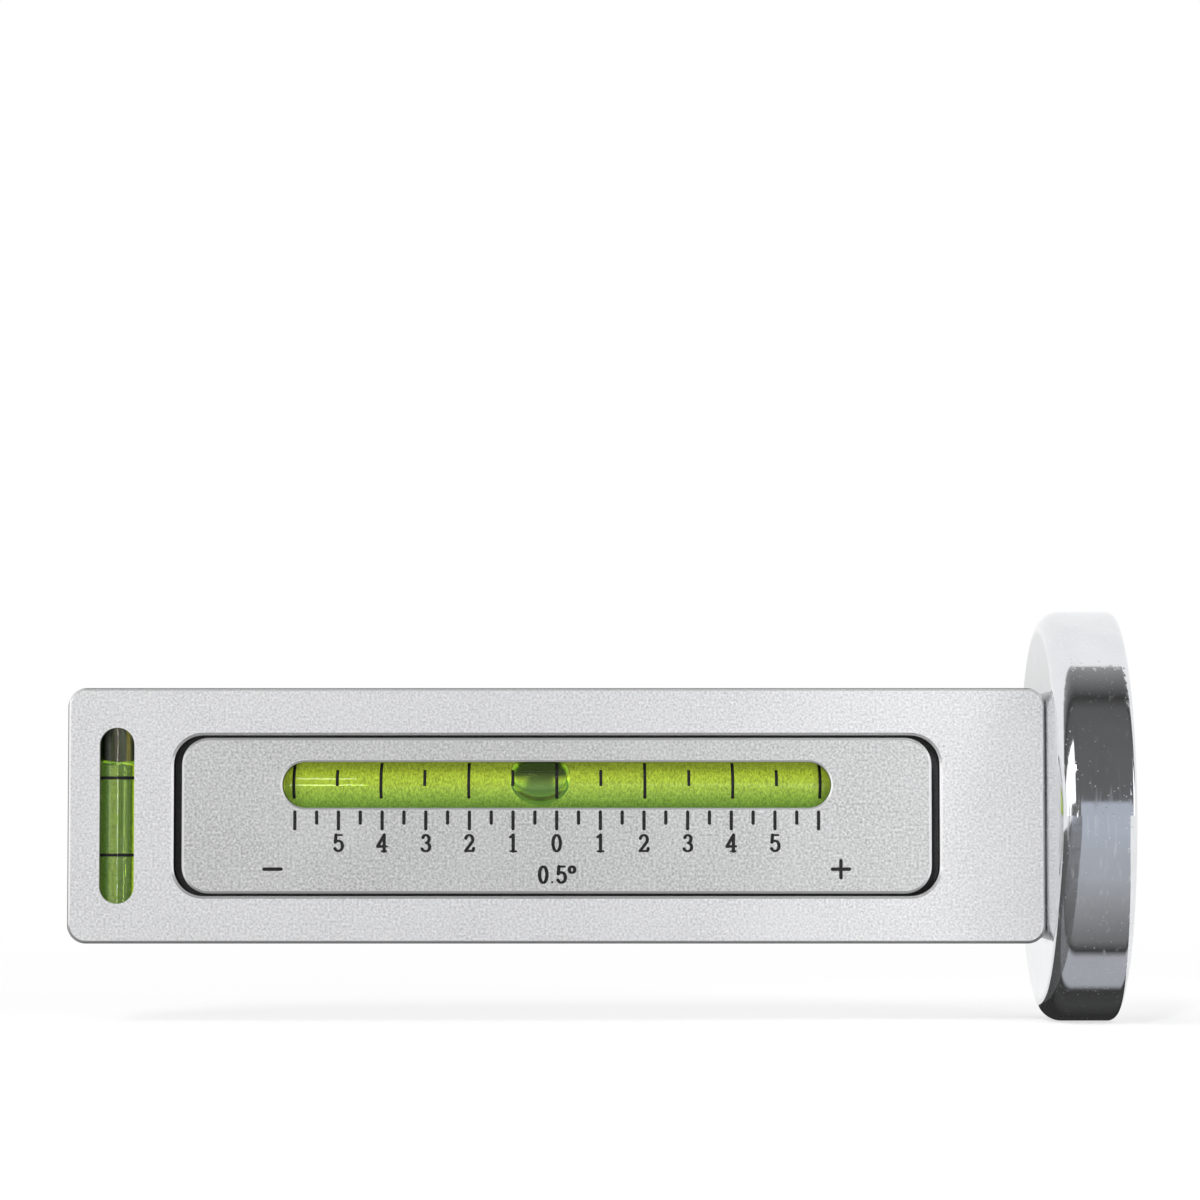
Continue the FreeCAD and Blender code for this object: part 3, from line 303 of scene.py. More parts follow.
# %% Node group: blasted grain
def make_grain_group():
    """Fine pits of blasting, with slow clouds over them: Grain is 0 to 1, and so is Cloud."""
    group, start, end = new_group(
        "Blasted grain", ("Place", "Pits per metre", "Clouds per metre"), ("Grain", "Cloud")
    )
    pits = add(group, "ShaderNodeTexNoise", Detail=2.0, Roughness=0.7, Vector=start["Place"])
    clouds = add(group, "ShaderNodeTexNoise", Detail=4.0, Roughness=0.6, Vector=start["Place"])
    join(start["Pits per metre"], pits.inputs["Scale"])
    join(start["Clouds per metre"], clouds.inputs["Scale"])
    join(rescale(pits.outputs["Fac"], 0.0, 1.0, 0.3, 0.7), end["Grain"])
    join(clouds.outputs["Fac"], end["Cloud"])
    return group


# %% Node group: hairline scratches
def make_scratch_group():
    """Thin scratches in two directions, 0 for none and 1 in a scratch."""
    group, start, end = new_group(
        "Hairline scratches", ("Place", "Per metre", "Share"), ("Scratch",)
    )
    found = []
    for turn, stretch in ((0.6, 0.05), (2.3, 0.09)):
        lay = add(group, "ShaderNodeMapping", Rotation=(0.3, turn, 0.2), Scale=(1.0, 1.0, stretch))
        join(start["Place"], lay.inputs["Vector"])
        hair = add(group, "ShaderNodeTexNoise", Detail=1.0, Roughness=0.4)
        join(lay.outputs["Vector"], hair.inputs["Vector"])
        join(start["Per metre"], hair.inputs["Scale"])
        found.append(rescale(hair.outputs["Fac"], 0.0, 1.0, start["Share"], 1.0))
    join(compute("MAXIMUM", *found), end["Scratch"])
    return group


# %% Node group: worn edges
def make_edge_group():
    """A mask of convex and concave edges, from how far a rounded normal leans from the true one."""
    group, start, end = new_group("Worn edges", ("Reach",), ("Edge",))
    rounded = add(group, "ShaderNodeBevel", samples=4, Radius=start["Reach"])
    true = add(group, "ShaderNodeNewGeometry")
    lean = add(group, "ShaderNodeVectorMath", operation="DOT_PRODUCT")
    join(rounded.outputs["Normal"], lean.inputs[0])
    join(true.outputs["Normal"], lean.inputs[1])
    join(rescale(lean.outputs["Value"], 0.0, 1.0, 1.0, 0.8), end["Edge"])
    return group


grain_group = make_grain_group()
scratch_group = make_scratch_group()
edge_group = make_edge_group()


# %% Placing the groups
def use_group(tree, group, *values):
    """Places a shared effect in a material, with this material's own values for its inputs."""
    node = add(tree, "ShaderNodeGroup", node_tree=group)
    for socket, value in zip(node.inputs, values):
        fill(socket, value)
    return node.outputs


def grain_of(place, pits, clouds):
    """Masks of grain and cloud, with so many pits and clouds in a metre."""
    made = use_group(place.id_data, grain_group, place, pits, clouds)
    return made["Grain"], made["Cloud"]


def scratches_of(place, per_metre, share):
    """A mask of scratches. The nearer share is to 1, the fewer they are."""
    return use_group(place.id_data, scratch_group, place, per_metre, share)["Scratch"]


def edges_of(shader, reach):
    """A mask of edges, as wide as reach."""
    return use_group(shader.id_data, edge_group, reach)["Edge"]


# %% [markdown]
# ## Metals
# The bar and the plates are aluminium, blasted with fine beads and then anodised. Close up this is
# a carpet of tiny pits, each catching light in its own way, so the grain drives the colour, the
# roughness and the bump together. The plates are the same metal with a duller, more scratched face.
# Grooves, window walls, the rims of chamfers and the chamfers that run level are given a painted
# shade by their place and slope.


# %% Masks from place and slope
SLOPE = 0.65
SLOPE_SPREAD = 0.22


def box_mask(place, low, high, blur):
    """1 inside a box given by two corners of absolute X, Y and Z, and 0 outside."""
    sides = []
    for axis, first, last in zip("XYZ", low, high):
        size = compute("ABSOLUTE", axis_of(place, axis))
        for edge, sign in ((first, 1), (last, -1)):
            sides.append(rescale(size, 0.0, 1.0, edge - sign * blur, edge + sign * blur))
    return product(*sides)


def chamfer_mask(tree):
    """1 on the slopes between a face and a side wall, and 1 where such a slope runs level."""
    true = add(tree, "ShaderNodeNewGeometry").outputs["True Normal"]
    forward = compute("ABSOLUTE", axis_of(true, "Y"))
    upward = compute("ABSOLUTE", axis_of(true, "Z"))
    chamfer = compute("COMPARE", forward, SLOPE, SLOPE_SPREAD)
    return chamfer, rescale(upward, 0.0, 1.0, 0.25, 0.6)


# %% Blasted aluminium
PAINTED_HOLLOW_SHADE = 0.04
PAINTED_RIM_SHADE = 0.30
CHAMFER_ROUGHNESS = 0.24


def make_blasted_aluminium(
    name, shades, pits, roughness, scratch_share, pit_depth, metals, painted_level_shade, painted_shade_boxes,
    outline=None,
):
    """Blasted and anodised aluminium. Metal inside the boxes of painted shade is painted nearly
    black, for the shade in grooves and walls.

    metals is how metallic the faces and the chamfers are. The rim of a chamfer that lies outside
    the box called outline is painted darker, and chamfers that run level are painted a darker grey
    than upright ones: both are painted shade.
    """
    material, shader, place = new_material(name)
    dark, light = shades
    grain, cloud = grain_of(place, pits, 90.0)
    scratch = scratches_of(place, 1500.0, scratch_share)
    edge = edges_of(shader, 0.2 * MM)
    chamfer, level = chamfer_mask(place.id_data)
    dull = [channel * 0.88 for channel in light]
    face = mix_colour(rescale(cloud, 0.0, 0.35, 0.35, 0.75), mix_colour(grain, dark, light), dull)
    worn = mix_colour(rescale(edge, 0.0, 0.45), face, (0.93, 0.93, 0.94))
    scored = mix_colour(rescale(scratch, 0.0, 0.5), worn, (0.95, 0.95, 0.95))
    # Painted shade: chamfers that run level are painted a darker grey than upright ones.
    colour = mix_colour(chamfer, scored, mix_colour(level, (0.96, 0.96, 0.97), grey(painted_level_shade)))
    # Painted shade: a dark line along the rim of each outer chamfer.
    if outline:
        beyond = rescale(box_mask(place, *outline, 0.03 * MM), 1.0, 0.0)
        colour = mix_colour(product(beyond, chamfer), colour, grey(PAINTED_RIM_SHADE))
    # Painted shade: the metal inside each box is painted nearly black.
    for low, high in painted_shade_boxes:
        colour = mix_colour(box_mask(place, low, high, 0.06 * MM), colour, grey(PAINTED_HOLLOW_SHADE))
    rough = add(place.id_data, "ShaderNodeMix")
    fill(rough.inputs[0], chamfer)
    fill(rough.inputs[2], rescale(grain, roughness + 0.08, roughness - 0.08))
    fill(rough.inputs[3], CHAMFER_ROUGHNESS)
    feed(
        shader, Base_Color=colour, Roughness=rough.outputs[0], Metallic=rescale(chamfer, *metals)
    )
    add_bump(shader, product(grain, rescale(chamfer, 1.0, 0.3)), pit_depth)
    return material


# %% The bar's finish
# The boxes of painted shade are given by absolute X, Y and Z, so each starts a little below
# zero, at MIDPLANE.
MIDPLANE = -1.0 * MM
EDGE_LINE = 0.14 * MM
POCKET_REACH_Z = plate_high.z + 0.6 * MM
plate_foot_y = min(abs(plate_high.y), abs(plate_low.y)) - 0.05 * MM
# Painted shade: the groove round the plate, the channel and the cross hole are painted nearly black.
groove = ((16.0 * MM, plate_foot_y, MIDPLANE), (112.6 * MM, 9.45 * MM, POCKET_REACH_Z))
channel = ((20.0 * MM, MIDPLANE, MIDPLANE), (112.0 * MM, plate_foot_y, POCKET_REACH_Z))
cross_hole = ((114.6 * MM, MIDPLANE, MIDPLANE), (121.9 * MM, 9.3 * MM, 14.6 * MM))
bar_outline = (
    (abs(bar_high.x) + EDGE_LINE, MIDPLANE, MIDPLANE),
    (abs(bar_low.x) - EDGE_LINE, 20.0 * MM, bar_high.z - EDGE_LINE),
)
bar_finish = make_blasted_aluminium(
    "blasted_bar",
    shades=((0.50, 0.50, 0.51), (0.97, 0.97, 0.98)),
    pits=3500.0,
    roughness=0.48,
    scratch_share=0.84,
    pit_depth=0.014 * MM,
    metals=(0.36, 0.75),
    painted_level_shade=0.72,
    painted_shade_boxes=(groove, channel, cross_hole),
    outline=bar_outline,
)

# %% The plates' finish
# Painted shade: the walls of the plate's window are painted nearly black.
plate_wall = (
    (16.0 * MM, MIDPLANE, MIDPLANE),
    (112.0 * MM, abs(plate_low.y) - 0.45 * MM, POCKET_REACH_Z),
)


def make_plate_finish(name, painted_shade_boxes):
    """The same metal for both plates, duller and more scratched than the bar's."""
    return make_blasted_aluminium(
        name,
        shades=(grey(0.36), grey(0.90)),
        pits=3300.0,
        roughness=0.46,
        scratch_share=0.69,
        pit_depth=0.018 * MM,
        metals=(0.45, 0.15),
        painted_level_shade=0.42,
        painted_shade_boxes=painted_shade_boxes,
    )


plate_finish = make_plate_finish("blasted_plate", (plate_wall,))
caster_plate_finish = make_plate_finish("blasted_caster_plate", ())


# %% Chrome
def make_chrome():
    """Bright plating, dulled by fine rubbing marks, hairlines and specks of dust."""
    material, shader, place = new_material("bright_chrome", Metallic=1.0)
    grain, cloud = grain_of(place, 2400.0, 170.0)
    hair = scratches_of(place, 1700.0, 0.63)
    dust = add(place.id_data, "ShaderNodeTexVoronoi", Scale=1500.0, Vector=place)
    speck = rescale(dust.outputs["Distance"], 1.0, 0.0, 0.07, 0.18)
    patch = rescale(cloud, 0.1, 1.0, 0.42, 0.54)
    marks = compute("MAXIMUM", hair, product(speck, patch))
    plating = mix_colour(
        rescale(cloud, 0.0, 1.0, 0.4, 0.7), (0.79, 0.80, 0.82), (0.74, 0.75, 0.77)
    )
    rough = compute("ADD", rescale(grain, 0.05, 0.10), rescale(marks, 0.0, 0.45))
    feed(shader, Base_Color=mix_colour(marks, plating, (0.93, 0.93, 0.93)), Roughness=rough)
    add_bump(shader, marks, 0.006 * MM)
    return material


chrome_finish = make_chrome()


# %% Steel, brass and ferrite
def make_turned_metal(name, dark, light, roughness, metallic=1.0):
    """Machined metal with fine tool marks and a few scratches."""
    material, shader, place = new_material(name, Metallic=metallic)
    grain, cloud = grain_of(place, 3800.0, 300.0)
    scratch = scratches_of(place, 2200.0, 0.72)
    rough = rescale(scratch, roughness, roughness + 0.25)
    feed(shader, Base_Color=mix_colour(cloud, dark, light), Roughness=rough)
    add_bump(shader, grain, 0.004 * MM, 0.5)
    return material


steel_finish = make_turned_metal("zinc_steel", (0.48, 0.48, 0.50), (0.68, 0.68, 0.70), 0.28)
brass_finish = make_turned_metal("turned_brass", (0.62, 0.44, 0.18), (0.80, 0.62, 0.32), 0.25)
pole_finish = make_turned_metal("ground_pole", (0.52, 0.53, 0.55), (0.70, 0.71, 0.73), 0.30)
ferrite_finish = make_turned_metal("ferrite", (0.028, 0.028, 0.032), (0.06, 0.06, 0.07), 0.55, 0.2)

# %% [markdown]
# ## Plastics
# The knob is moulded in black, the seals are a soft grey and the magnet's gap is cast full of
# resin. Moulded plastic is never quite even: it has a fine skin and slow clouds of gloss.


# %% Moulded plastics
def make_moulded_plastic(name, dark, light, roughness, skin_depth):
    """Moulded plastic, with a fine eroded skin and worn edges."""
    material, shader, place = new_material(name)
    grain, cloud = grain_of(place, 3000.0, 400.0)
    rubbed = [0.12 + 1.2 * part for part in light]
    edge = rescale(edges_of(shader, 0.12 * MM), 0.0, 0.4)
    worn = mix_colour(edge, mix_colour(cloud, dark, light), rubbed)
    rough = rescale(cloud, roughness - 0.08, roughness + 0.08, 0.3, 0.7)
    feed(shader, Base_Color=worn, Roughness=rough)
    add_bump(shader, grain, skin_depth, 0.6)
    return material


knob_finish, seal_finish, resin_finish = [
    make_moulded_plastic(*recipe)
    for recipe in (
        ("black_knob", (0.016, 0.016, 0.017), (0.03, 0.03, 0.03), 0.42, 0.010 * MM),
        ("grey_seal", (0.34, 0.35, 0.35), (0.44, 0.45, 0.45), 0.5, 0.010 * MM),
        ("cast_resin", (0.015, 0.015, 0.016), (0.03, 0.03, 0.032), 0.3, 0.006 * MM),
    )
]


# %% Ink
def make_ink():
    """Screen-printed ink: matt black, a little thin where the pits below it show through."""
    material, shader, place = new_material("black_ink", Specular_IOR_Level=0.2)
    grain, cloud = grain_of(place, 6000.0, 500.0)
    thin = rescale(grain, 0.0, 1.0, 0.72, 0.95)
    feed(
        shader, Base_Color=mix_colour(thin, grey(0.016), grey(0.075)),
        Roughness=rescale(cloud, 0.55, 0.7),
    )
    add_bump(shader, grain, 0.004 * MM)
    return material


ink_finish = make_ink()

# %% [markdown]
# ## The vials
# A spirit vial is three clear things in one another: an acrylic tube, the coloured spirit in its
# bore and a bubble of air. Light bends at each surface between them, so the spirit fills the tube
# from edge to edge and the bubble gets a bright rim. The spirit's glow is painted light, and the
# bubble's dark heart is painted shade on top of what the bending gives.
#
# The spirit is made a hair larger than the bore, so that no film of air lies between the two. The
# bubble has an index below 1, because it is air seen from inside the spirit.

# %% Clear materials
SPIRIT_INDEX = 1.36
AIR_INDEX = 1 / SPIRIT_INDEX
ACRYLIC_INDEX = 1.49
HAZE = 0.02


def make_clear(name, colour, index, **sockets):
    """A clear material. Its faint haze varies over the surface."""
    material, shader, place = new_material(
        name, Base_Color=(*colour, 1.0), Transmission_Weight=1.0, IOR=index, **sockets
    )
    cloud = grain_of(place, 900.0, 160.0)[1]
    feed(shader, Roughness=rescale(cloud, 0.0, HAZE, 0.4, 0.75))
    return material, shader, place


acrylic_finish = make_clear("clear_acrylic", (0.98, 1.0, 0.97), ACRYLIC_INDEX)[0]
# Painted shade: the cross bubble's air is tinted so that the green glow seen through it turns dark grey.
cross_air_painted_shade = make_clear("cross_bubble", (0.42, 0.26, 0.9), AIR_INDEX)[0]
print("index of the air in the spirit:", round(AIR_INDEX, 3))

# %% [markdown]
# The long bubble is painted dark above and clearer below, and clearest in crescents at its two ends:
# this is painted shade and painted light. A ramp over its height tints the skin, and its lower side
# carries a little painted glow.

# %% The long bubble's skin
# Painted light and shade of the long bubble: a glow below, clearer ends and darker tints above.
PAINTED_LOW_GLOW = (0.055, 0.085, 0.032)
PAINTED_CRESCENT_LIGHT = (0.9, 0.95, 0.8)
PAINTED_BUBBLE_SHADE = [
    (-1.0, (0.75, 0.80, 0.85)),
    (-0.55, (0.50, 0.55, 0.80)),
    (0.0, (0.18, 0.22, 0.60)),
    (0.6, (0.22, 0.28, 0.60)),
    (1.0, (0.24, 0.32, 0.60)),
]


def share_of(place, axis, low, high):
    """How far a coordinate is from the middle of a box, in halves of the box's size."""
    number = "XYZ".index(axis)
    return rescale(axis_of(place, axis), -1.0, 1.0, low[number], high[number])


def make_long_air(vial):
    """The long bubble's skin: painted shade, painted light at its ends and a painted glow below."""
    material, shader, place = make_clear(
        vial["name"] + "_bubble", grey(0.3), AIR_INDEX, Emission_Strength=1.0
    )
    along = compute("ABSOLUTE", share_of(place, "X", *vial["bubble"]))
    up = share_of(place, "Z", *vial["bubble"])
    stops = [(0.5 + height / 2, colour) for height, colour in PAINTED_BUBBLE_SHADE]
    depth = colour_ramp(rescale(up, 0.0, 1.0, -1.0, 1.0), stops)
    painted_crescent = product(rescale(along, 0.0, 1.0, 0.42, 0.62), rescale(up, 1.0, 0.0, -0.1, 0.25))
    feed(
        shader,
        Base_Color=mix_colour(painted_crescent, depth, PAINTED_CRESCENT_LIGHT),
        Emission_Color=mix_colour(rescale(up, 1.0, 0.0, -0.8, 0.1), grey(0.0), PAINTED_LOW_GLOW),
    )
    return material


# %% [markdown]
# The spirit glows with painted light: it stands for the light that gathers at the far side of the
# tube and that the dye gives back. So only the far half of the liquid's skin glows, in bands along
# the tube, and the bubble, which has no dye in it, is dark against that glow. What a band looks like
# from the front is nearly twice as wide as the band itself, because the tube is a lens.


# %% Spirit
SPIRIT_COLOUR = (0.74, 0.90, 0.20)
PAINTED_GLOW_START = 0.6 * MM


def make_spirit(name, axis, middle, axis_y, side, lens, bands, fade=None):
    """Yellow-green spirit with a painted glow behind the tube's axis, in bands along the tube.

    bands pair an apparent distance from the tube's middle, in millimetres, with a colour of painted
    light. lens is how narrow a band is for its look. fade is where the painted glow falls off along X.
    """
    material, shader, place = make_clear(
        name, SPIRIT_COLOUR, SPIRIT_INDEX, Emission_Strength=1.0
    )
    reach = bands[-1][0]
    width = reach * MM * lens
    across = rescale(axis_of(place, axis), 0.0, 1.0, middle - width, middle + width)
    behind = rescale(axis_of(place, "Y"), 0.0, 1.0, axis_y, axis_y - side * PAINTED_GLOW_START)
    painted_bands = colour_ramp(across, [(0.5 + away / (2 * reach), colour) for away, colour in bands])
    # Painted light: the glow lies behind the axis, in bands, and is made uneven by a fine grain.
    glow_grain = grain_of(place, 5200.0, 260.0)[0]
    glow = product(rescale(glow_grain, 0.5, 1.42), behind)
    # Painted shade: the glow fades towards the ends of the window.
    if fade:
        away = compute("ABSOLUTE", compute("SUBTRACT", axis_of(place, "X"), SCALE_MIDDLE_X))
        glow = product(rescale(away, 1.0, 0.3, *fade), glow)
    uneven = add(place.id_data, "ShaderNodeVectorMath", operation="SCALE", Scale=glow)
    join(painted_bands, uneven.inputs[0])
    feed(shader, Emission_Color=uneven.outputs["Vector"])
    return material


# Painted light and shade: bright and dark bands of glow across each tube, for light the tube gathers.
LONG_PAINTED_GLOW = [
    (-3.0, (0.06, 0.14, 0.05)),
    (-2.6, (0.12, 0.22, 0.09)),
    (-1.7, (0.27, 0.40, 0.14)),
    (-0.8, (0.38, 0.51, 0.15)),
    (0.0, (0.47, 0.57, 0.13)),
    (0.75, (0.51, 0.60, 0.12)),
    (1.5, (0.44, 0.50, 0.09)),
    (2.1, (0.28, 0.31, 0.07)),
    (3.0, (0.17, 0.19, 0.05)),
]
CROSS_PAINTED_GLOW = [
    (-2.4, (0.04, 0.07, 0.03)),
    (-1.9, (0.08, 0.15, 0.06)),
    (-1.7, (0.25, 0.32, 0.17)),
    (-0.7, (0.23, 0.30, 0.15)),
    (-0.6, (0.09, 0.15, 0.06)),
    (0.95, (0.09, 0.15, 0.05)),
    (1.15, (0.50, 0.62, 0.06)),
    (1.8, (0.42, 0.54, 0.06)),
    (2.2, (0.20, 0.30, 0.08)),
    (2.6, (0.05, 0.09, 0.04)),
]
LONG_LENS = 0.525
CROSS_LENS = 0.56
PAINTED_GLOW_END_FADE = (30.2 * MM, 32.4 * MM)
# Each long vial's spirit has a painted glow, and its bubble painted light and shade.
for vial in long_vials:
    axis_y = vial["centre"].y + vial["side"] * vial["bend"]
    vial["spirit"] = make_spirit(
        vial["name"] + "_spirit",
        "Z", vial["centre"].z, axis_y, vial["side"], LONG_LENS, LONG_PAINTED_GLOW, PAINTED_GLOW_END_FADE,
    )
    vial["air"] = make_long_air(vial)

# %% [markdown]
# The long vials are bent like a bow, which is what makes a bubble move with the angle. So a plain
# cylinder won't do: we draw a ring square to the vial and sweep it about the bend centre.


# %% Rings on a bent vial
def station(vial, degrees):
    """The place of a cross section: its own X runs along the vial, and Z is up."""
    turn = Matrix.Rotation(-vial["side"] * math.radians(degrees), 4, "Z")
    reach = Matrix.Translation((0, vial["side"] * vial["bend"], 0))
    return Matrix.Translation(vial["centre"]) @ turn @ reach


def spin(bm, geom, centre, axis, angle, steps, **options):
    """Sweeps part of a bmesh about an axis, and gives what the sweep ends in."""
    swept = bmesh.ops.spin(
        bm, geom=geom, cent=centre, axis=axis, dvec=(0, 0, 0), angle=angle, steps=steps,
        use_duplicate=False, **options,
    )
    return swept["geom_last"]


def only(kind, items):
    """The items of one kind, such as edges."""
    return [item for item in items if isinstance(item, kind) and item.is_valid]


def ring_on(bm, vial, radius, degrees, count=64):
    """A ring of edges square to the vial."""
    made = bmesh.ops.create_circle(bm, cap_ends=False, radius=radius, segments=count)
    place = station(vial, degrees) @ Matrix.Rotation(math.pi / 2, 4, "Y")
    bmesh.ops.transform(bm, matrix=place, verts=made["verts"])
    return list({edge for vert in made["verts"] for edge in vert.link_edges})


def sweep_ring(bm, vial, edges, degrees, steps=72):
    """Sweeps a ring along the bend and gives the ring that it ends in."""
    axis = (0, 0, -vial["side"])
    last = spin(bm, edges, vial["centre"], axis, math.radians(degrees), steps)
    return only(bmesh.types.BMEdge, last)


def close_ring(bm, edges):
    """Closes a ring with one flat face."""
    bmesh.ops.contextual_create(bm, geom=edges)


# %% Tubes of the long vials
END_WALL = 1.2 * MM
PLUG_LENGTH = 1.6 * MM


def angle_of(vial, length):
    """The angle that a length takes along the bend."""
    return math.degrees(length / vial["bend"])


def make_long_tube(vial):
    """A bent test tube: out along the outside, round the open end and back down the bore."""
    bm = bmesh.new()
    sweep = 2 * vial["half"]
    outer = ring_on(bm, vial, vial["radius"], -vial["half"])
    mouth = sweep_ring(bm, vial, outer, sweep)
    close_ring(bm, outer)
    lip = bmesh.ops.extrude_edge_only(bm, edges=mouth)["geom"]
    lip_verts = only(bmesh.types.BMVert, lip)
    lip_edges = [
        edge for edge in only(bmesh.types.BMEdge, lip) if all(end in lip_verts for end in edge.verts)
    ]
    share = vial["bore"] / vial["radius"]
    centre = station(vial, vial["half"])
    shrink = centre @ Matrix.Diagonal((share, share, share, 1.0)) @ centre.inverted()
    bmesh.ops.transform(bm, matrix=shrink, verts=lip_verts)
    end = sweep_ring(bm, vial, lip_edges, angle_of(vial, END_WALL) - sweep)
    close_ring(bm, end)
    tube = finish_piece(bm, vial["name"] + "_tube", acrylic_finish, vial["body"])
    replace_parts(tube, vial["name"] + "_vial")
    sharpen(tube)


# %% Spirit of the long vials
SEAT_OVERLAP = 0.02 * MM


def make_long_spirit(vial):
    """The spirit, which fills the bore from the end wall to the plug."""
    bm = bmesh.new()
    first = angle_of(vial, END_WALL) - vial["half"]
    last = vial["half"] - angle_of(vial, PLUG_LENGTH)
    ring = ring_on(bm, vial, vial["bore"] + SEAT_OVERLAP, first)
    end = sweep_ring(bm, vial, ring, last - first)
    close_ring(bm, ring)
    close_ring(bm, end)
    spirit = finish_piece(bm, vial["name"] + "_green_spirit", vial["spirit"], vial["body"])
    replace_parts(spirit, vial["name"] + "_spirit")
    sharpen(spirit)


# %% Bubbles of the long vials
BUBBLE_LENGTHS = (7.2 * MM, 6.8 * MM)
BUBBLE_WIDTH = 4.7 * MM
FULLNESS = 2.6


def make_long_bubble(vial, length):
    """The bubble, an egg on its side that presses itself long against the top of the bore."""
    low, high = vial["bubble"]
    rise = (low.z + high.z) / 2 - vial["centre"].z
    bm = bmesh.new()
    ball = bmesh.ops.create_uvsphere(bm, u_segments=64, v_segments=40, radius=0.5)
    for vert in ball["verts"]:
        rise_share = 2 * vert.co.z
        if 0 < rise_share < 0.999:
            full = (1 - rise_share**FULLNESS) ** (1 / FULLNESS)
            vert.co.x *= full / math.sqrt(1 - rise_share**2)
    stretch = Matrix.Diagonal((length, BUBBLE_WIDTH, high.z - low.z, 1.0))
    place = station(vial, vial["reading"]) @ Matrix.Translation((0, 0, rise)) @ stretch
    bmesh.ops.transform(bm, matrix=place, verts=ball["verts"])
    bubble = finish_piece(bm, vial["name"] + "_air", vial["air"], vial["name"] + "_air")
    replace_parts(bubble, vial["name"] + "_bubble")


for vial, length in zip(long_vials, BUBBLE_LENGTHS):
    make_long_tube(vial)
    make_long_spirit(vial)
    make_long_bubble(vial, length)

# %% [markdown]
# ## The cross vials
# The short vials are straight, with a bore that is a little wider in the middle, so that the bubble
# seeks the middle when the gauge lies on its side. Each is a profile spun once about its axis.


# %% Spinning a profile
def spin_profile(points, centre, steps=64):
    """A closed shape of revolution about an upright axis, from points of radius and height."""
    bm = bmesh.new()
    verts = [bm.verts.new((centre.x + radius, centre.y, centre.z + height)) for radius, height in points]
    edges = [bm.edges.new(pair) for pair in zip(verts, verts[1:])]
    spin(bm, verts + edges, centre, (0, 0, 1), 2 * math.pi, steps, use_merge=True)
    bmesh.ops.remove_doubles(bm, verts=bm.verts, dist=0.001 * MM)
    return bm


# %% Tube, spirit and bubble of the cross vials
CROSS_BORE_MIDDLE = 2.2 * MM
CROSS_BORE_END = 2.05 * MM
CROSS_END_WALL = 1.0 * MM
CROSS_PLUG = 1.2 * MM
MENISCUS_DEPTH = 0.9 * MM
SHOULDER = 0.5 * MM


def barrel_side(half, first, last, grow=0.0, count=16):
    """Points down the side of the barrel bore, from one height to another."""
    points = []
    for step in range(count + 1):
        height = first + (last - first) * step / count
        share = 1 - (height / half) ** 2
        radius = CROSS_BORE_END + (CROSS_BORE_MIDDLE - CROSS_BORE_END) * share
        points.append((radius + grow, height))
    return points


def make_cross_vial(name, side):
    """One cross vial: its tube, the spirit that fills it and the bubble at its upper end."""
    low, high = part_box(name + "_cross_seal")
    centre = Vector(((low.x + high.x) / 2, (low.y + high.y) / 2, 0.0))
    radius = (high.x - low.x) / 2
    plug_low, plug_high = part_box(name + "_cross_vial_plug")
    half = plug_high.z
    floor = CROSS_END_WALL - half
    ceiling = half - CROSS_PLUG
    inside = half - CROSS_END_WALL
    outside = [(0, -half), (radius, -half), (radius, half), (CROSS_BORE_END, half)]
    bore = barrel_side(inside, ceiling, floor)
    tube_mesh = spin_profile(outside + bore + [(0, floor)], centre)
    tube = finish_piece(tube_mesh, name + "_cross_tube", acrylic_finish, "gauge")
    sharpen(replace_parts(tube, name + "_cross_vial"))
    # The cross vial's spirit has a painted glow in bands of painted light and shade.
    glow = make_spirit(
        name + "_cross_spirit", "X", centre.x, centre.y, side, CROSS_LENS, CROSS_PAINTED_GLOW
    )
    skin = barrel_side(inside, ceiling, floor, SEAT_OVERLAP)
    spirit_mesh = spin_profile([(0, ceiling)] + skin + [(0, floor)], centre)
    spirit = finish_piece(spirit_mesh, name + "_cross_green_spirit", glow, "gauge")
    sharpen(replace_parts(spirit, name + "_cross_spirit"))
    bubble_low, bubble_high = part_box(name + "_cross_bubble")
    width = (bubble_high.x - bubble_low.x) / 2
    top = bubble_high.z
    crown = arc((width - SHOULDER, top - SHOULDER), (SHOULDER, SHOULDER), 90, 0, 8)
    dome = arc((0, bubble_low.z + MENISCUS_DEPTH), (width, -MENISCUS_DEPTH), 0, 90)
    air_mesh = spin_profile([(0, top)] + crown + dome, centre)
    air = finish_piece(
        air_mesh, name + "_cross_air", cross_air_painted_shade, name + "_cross_air"
    )
    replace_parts(air, name + "_cross_bubble")


make_cross_vial("front", -1)
make_cross_vial("rear", 1)

# %% [markdown]
# ## Dressing the frame's own pieces
# Everything else keeps the shape that it came with, and gets one of the finishes above.

# %% Finishes of the frame's own pieces
finishes = {
    "bar": bar_finish,
    "camber_plate": plate_finish,
    "caster_plate": caster_plate_finish,
    "magnet_cup": chrome_finish,
    "magnet_core": pole_finish,
    "ring_magnet": ferrite_finish,
    "magnet_filler": resin_finish,
    "thrust_washer": brass_finish,
    "adjusting_knob": knob_finish,
}
for name in ("camber_plate_screws", "pivot_pins", "magnet_stud", "adjusting_screw", "return_spring"):
    finishes[name] = steel_finish
for name in ("camber", "caster", "front_cross", "rear_cross"):
    finishes[name + "_vial_plug"] = acrylic_finish
for name in ("front", "rear"):
    finishes[name + "_cross_seal"] = seal_finish
for name, finish in finishes.items():
    materials = nodes[name].data.materials
    materials.clear()
    materials.append(finish)
print("pieces dressed:", len(finishes))

# %% [markdown]
# ## The return spring
# The adjusting screw pulls the caster plate against a small coil spring. When the plate rocks, the
# foot of the spring stays in the bar and its head follows the plate. Here the frame's spring is
# replaced by a merged copy of it, which is given no body.

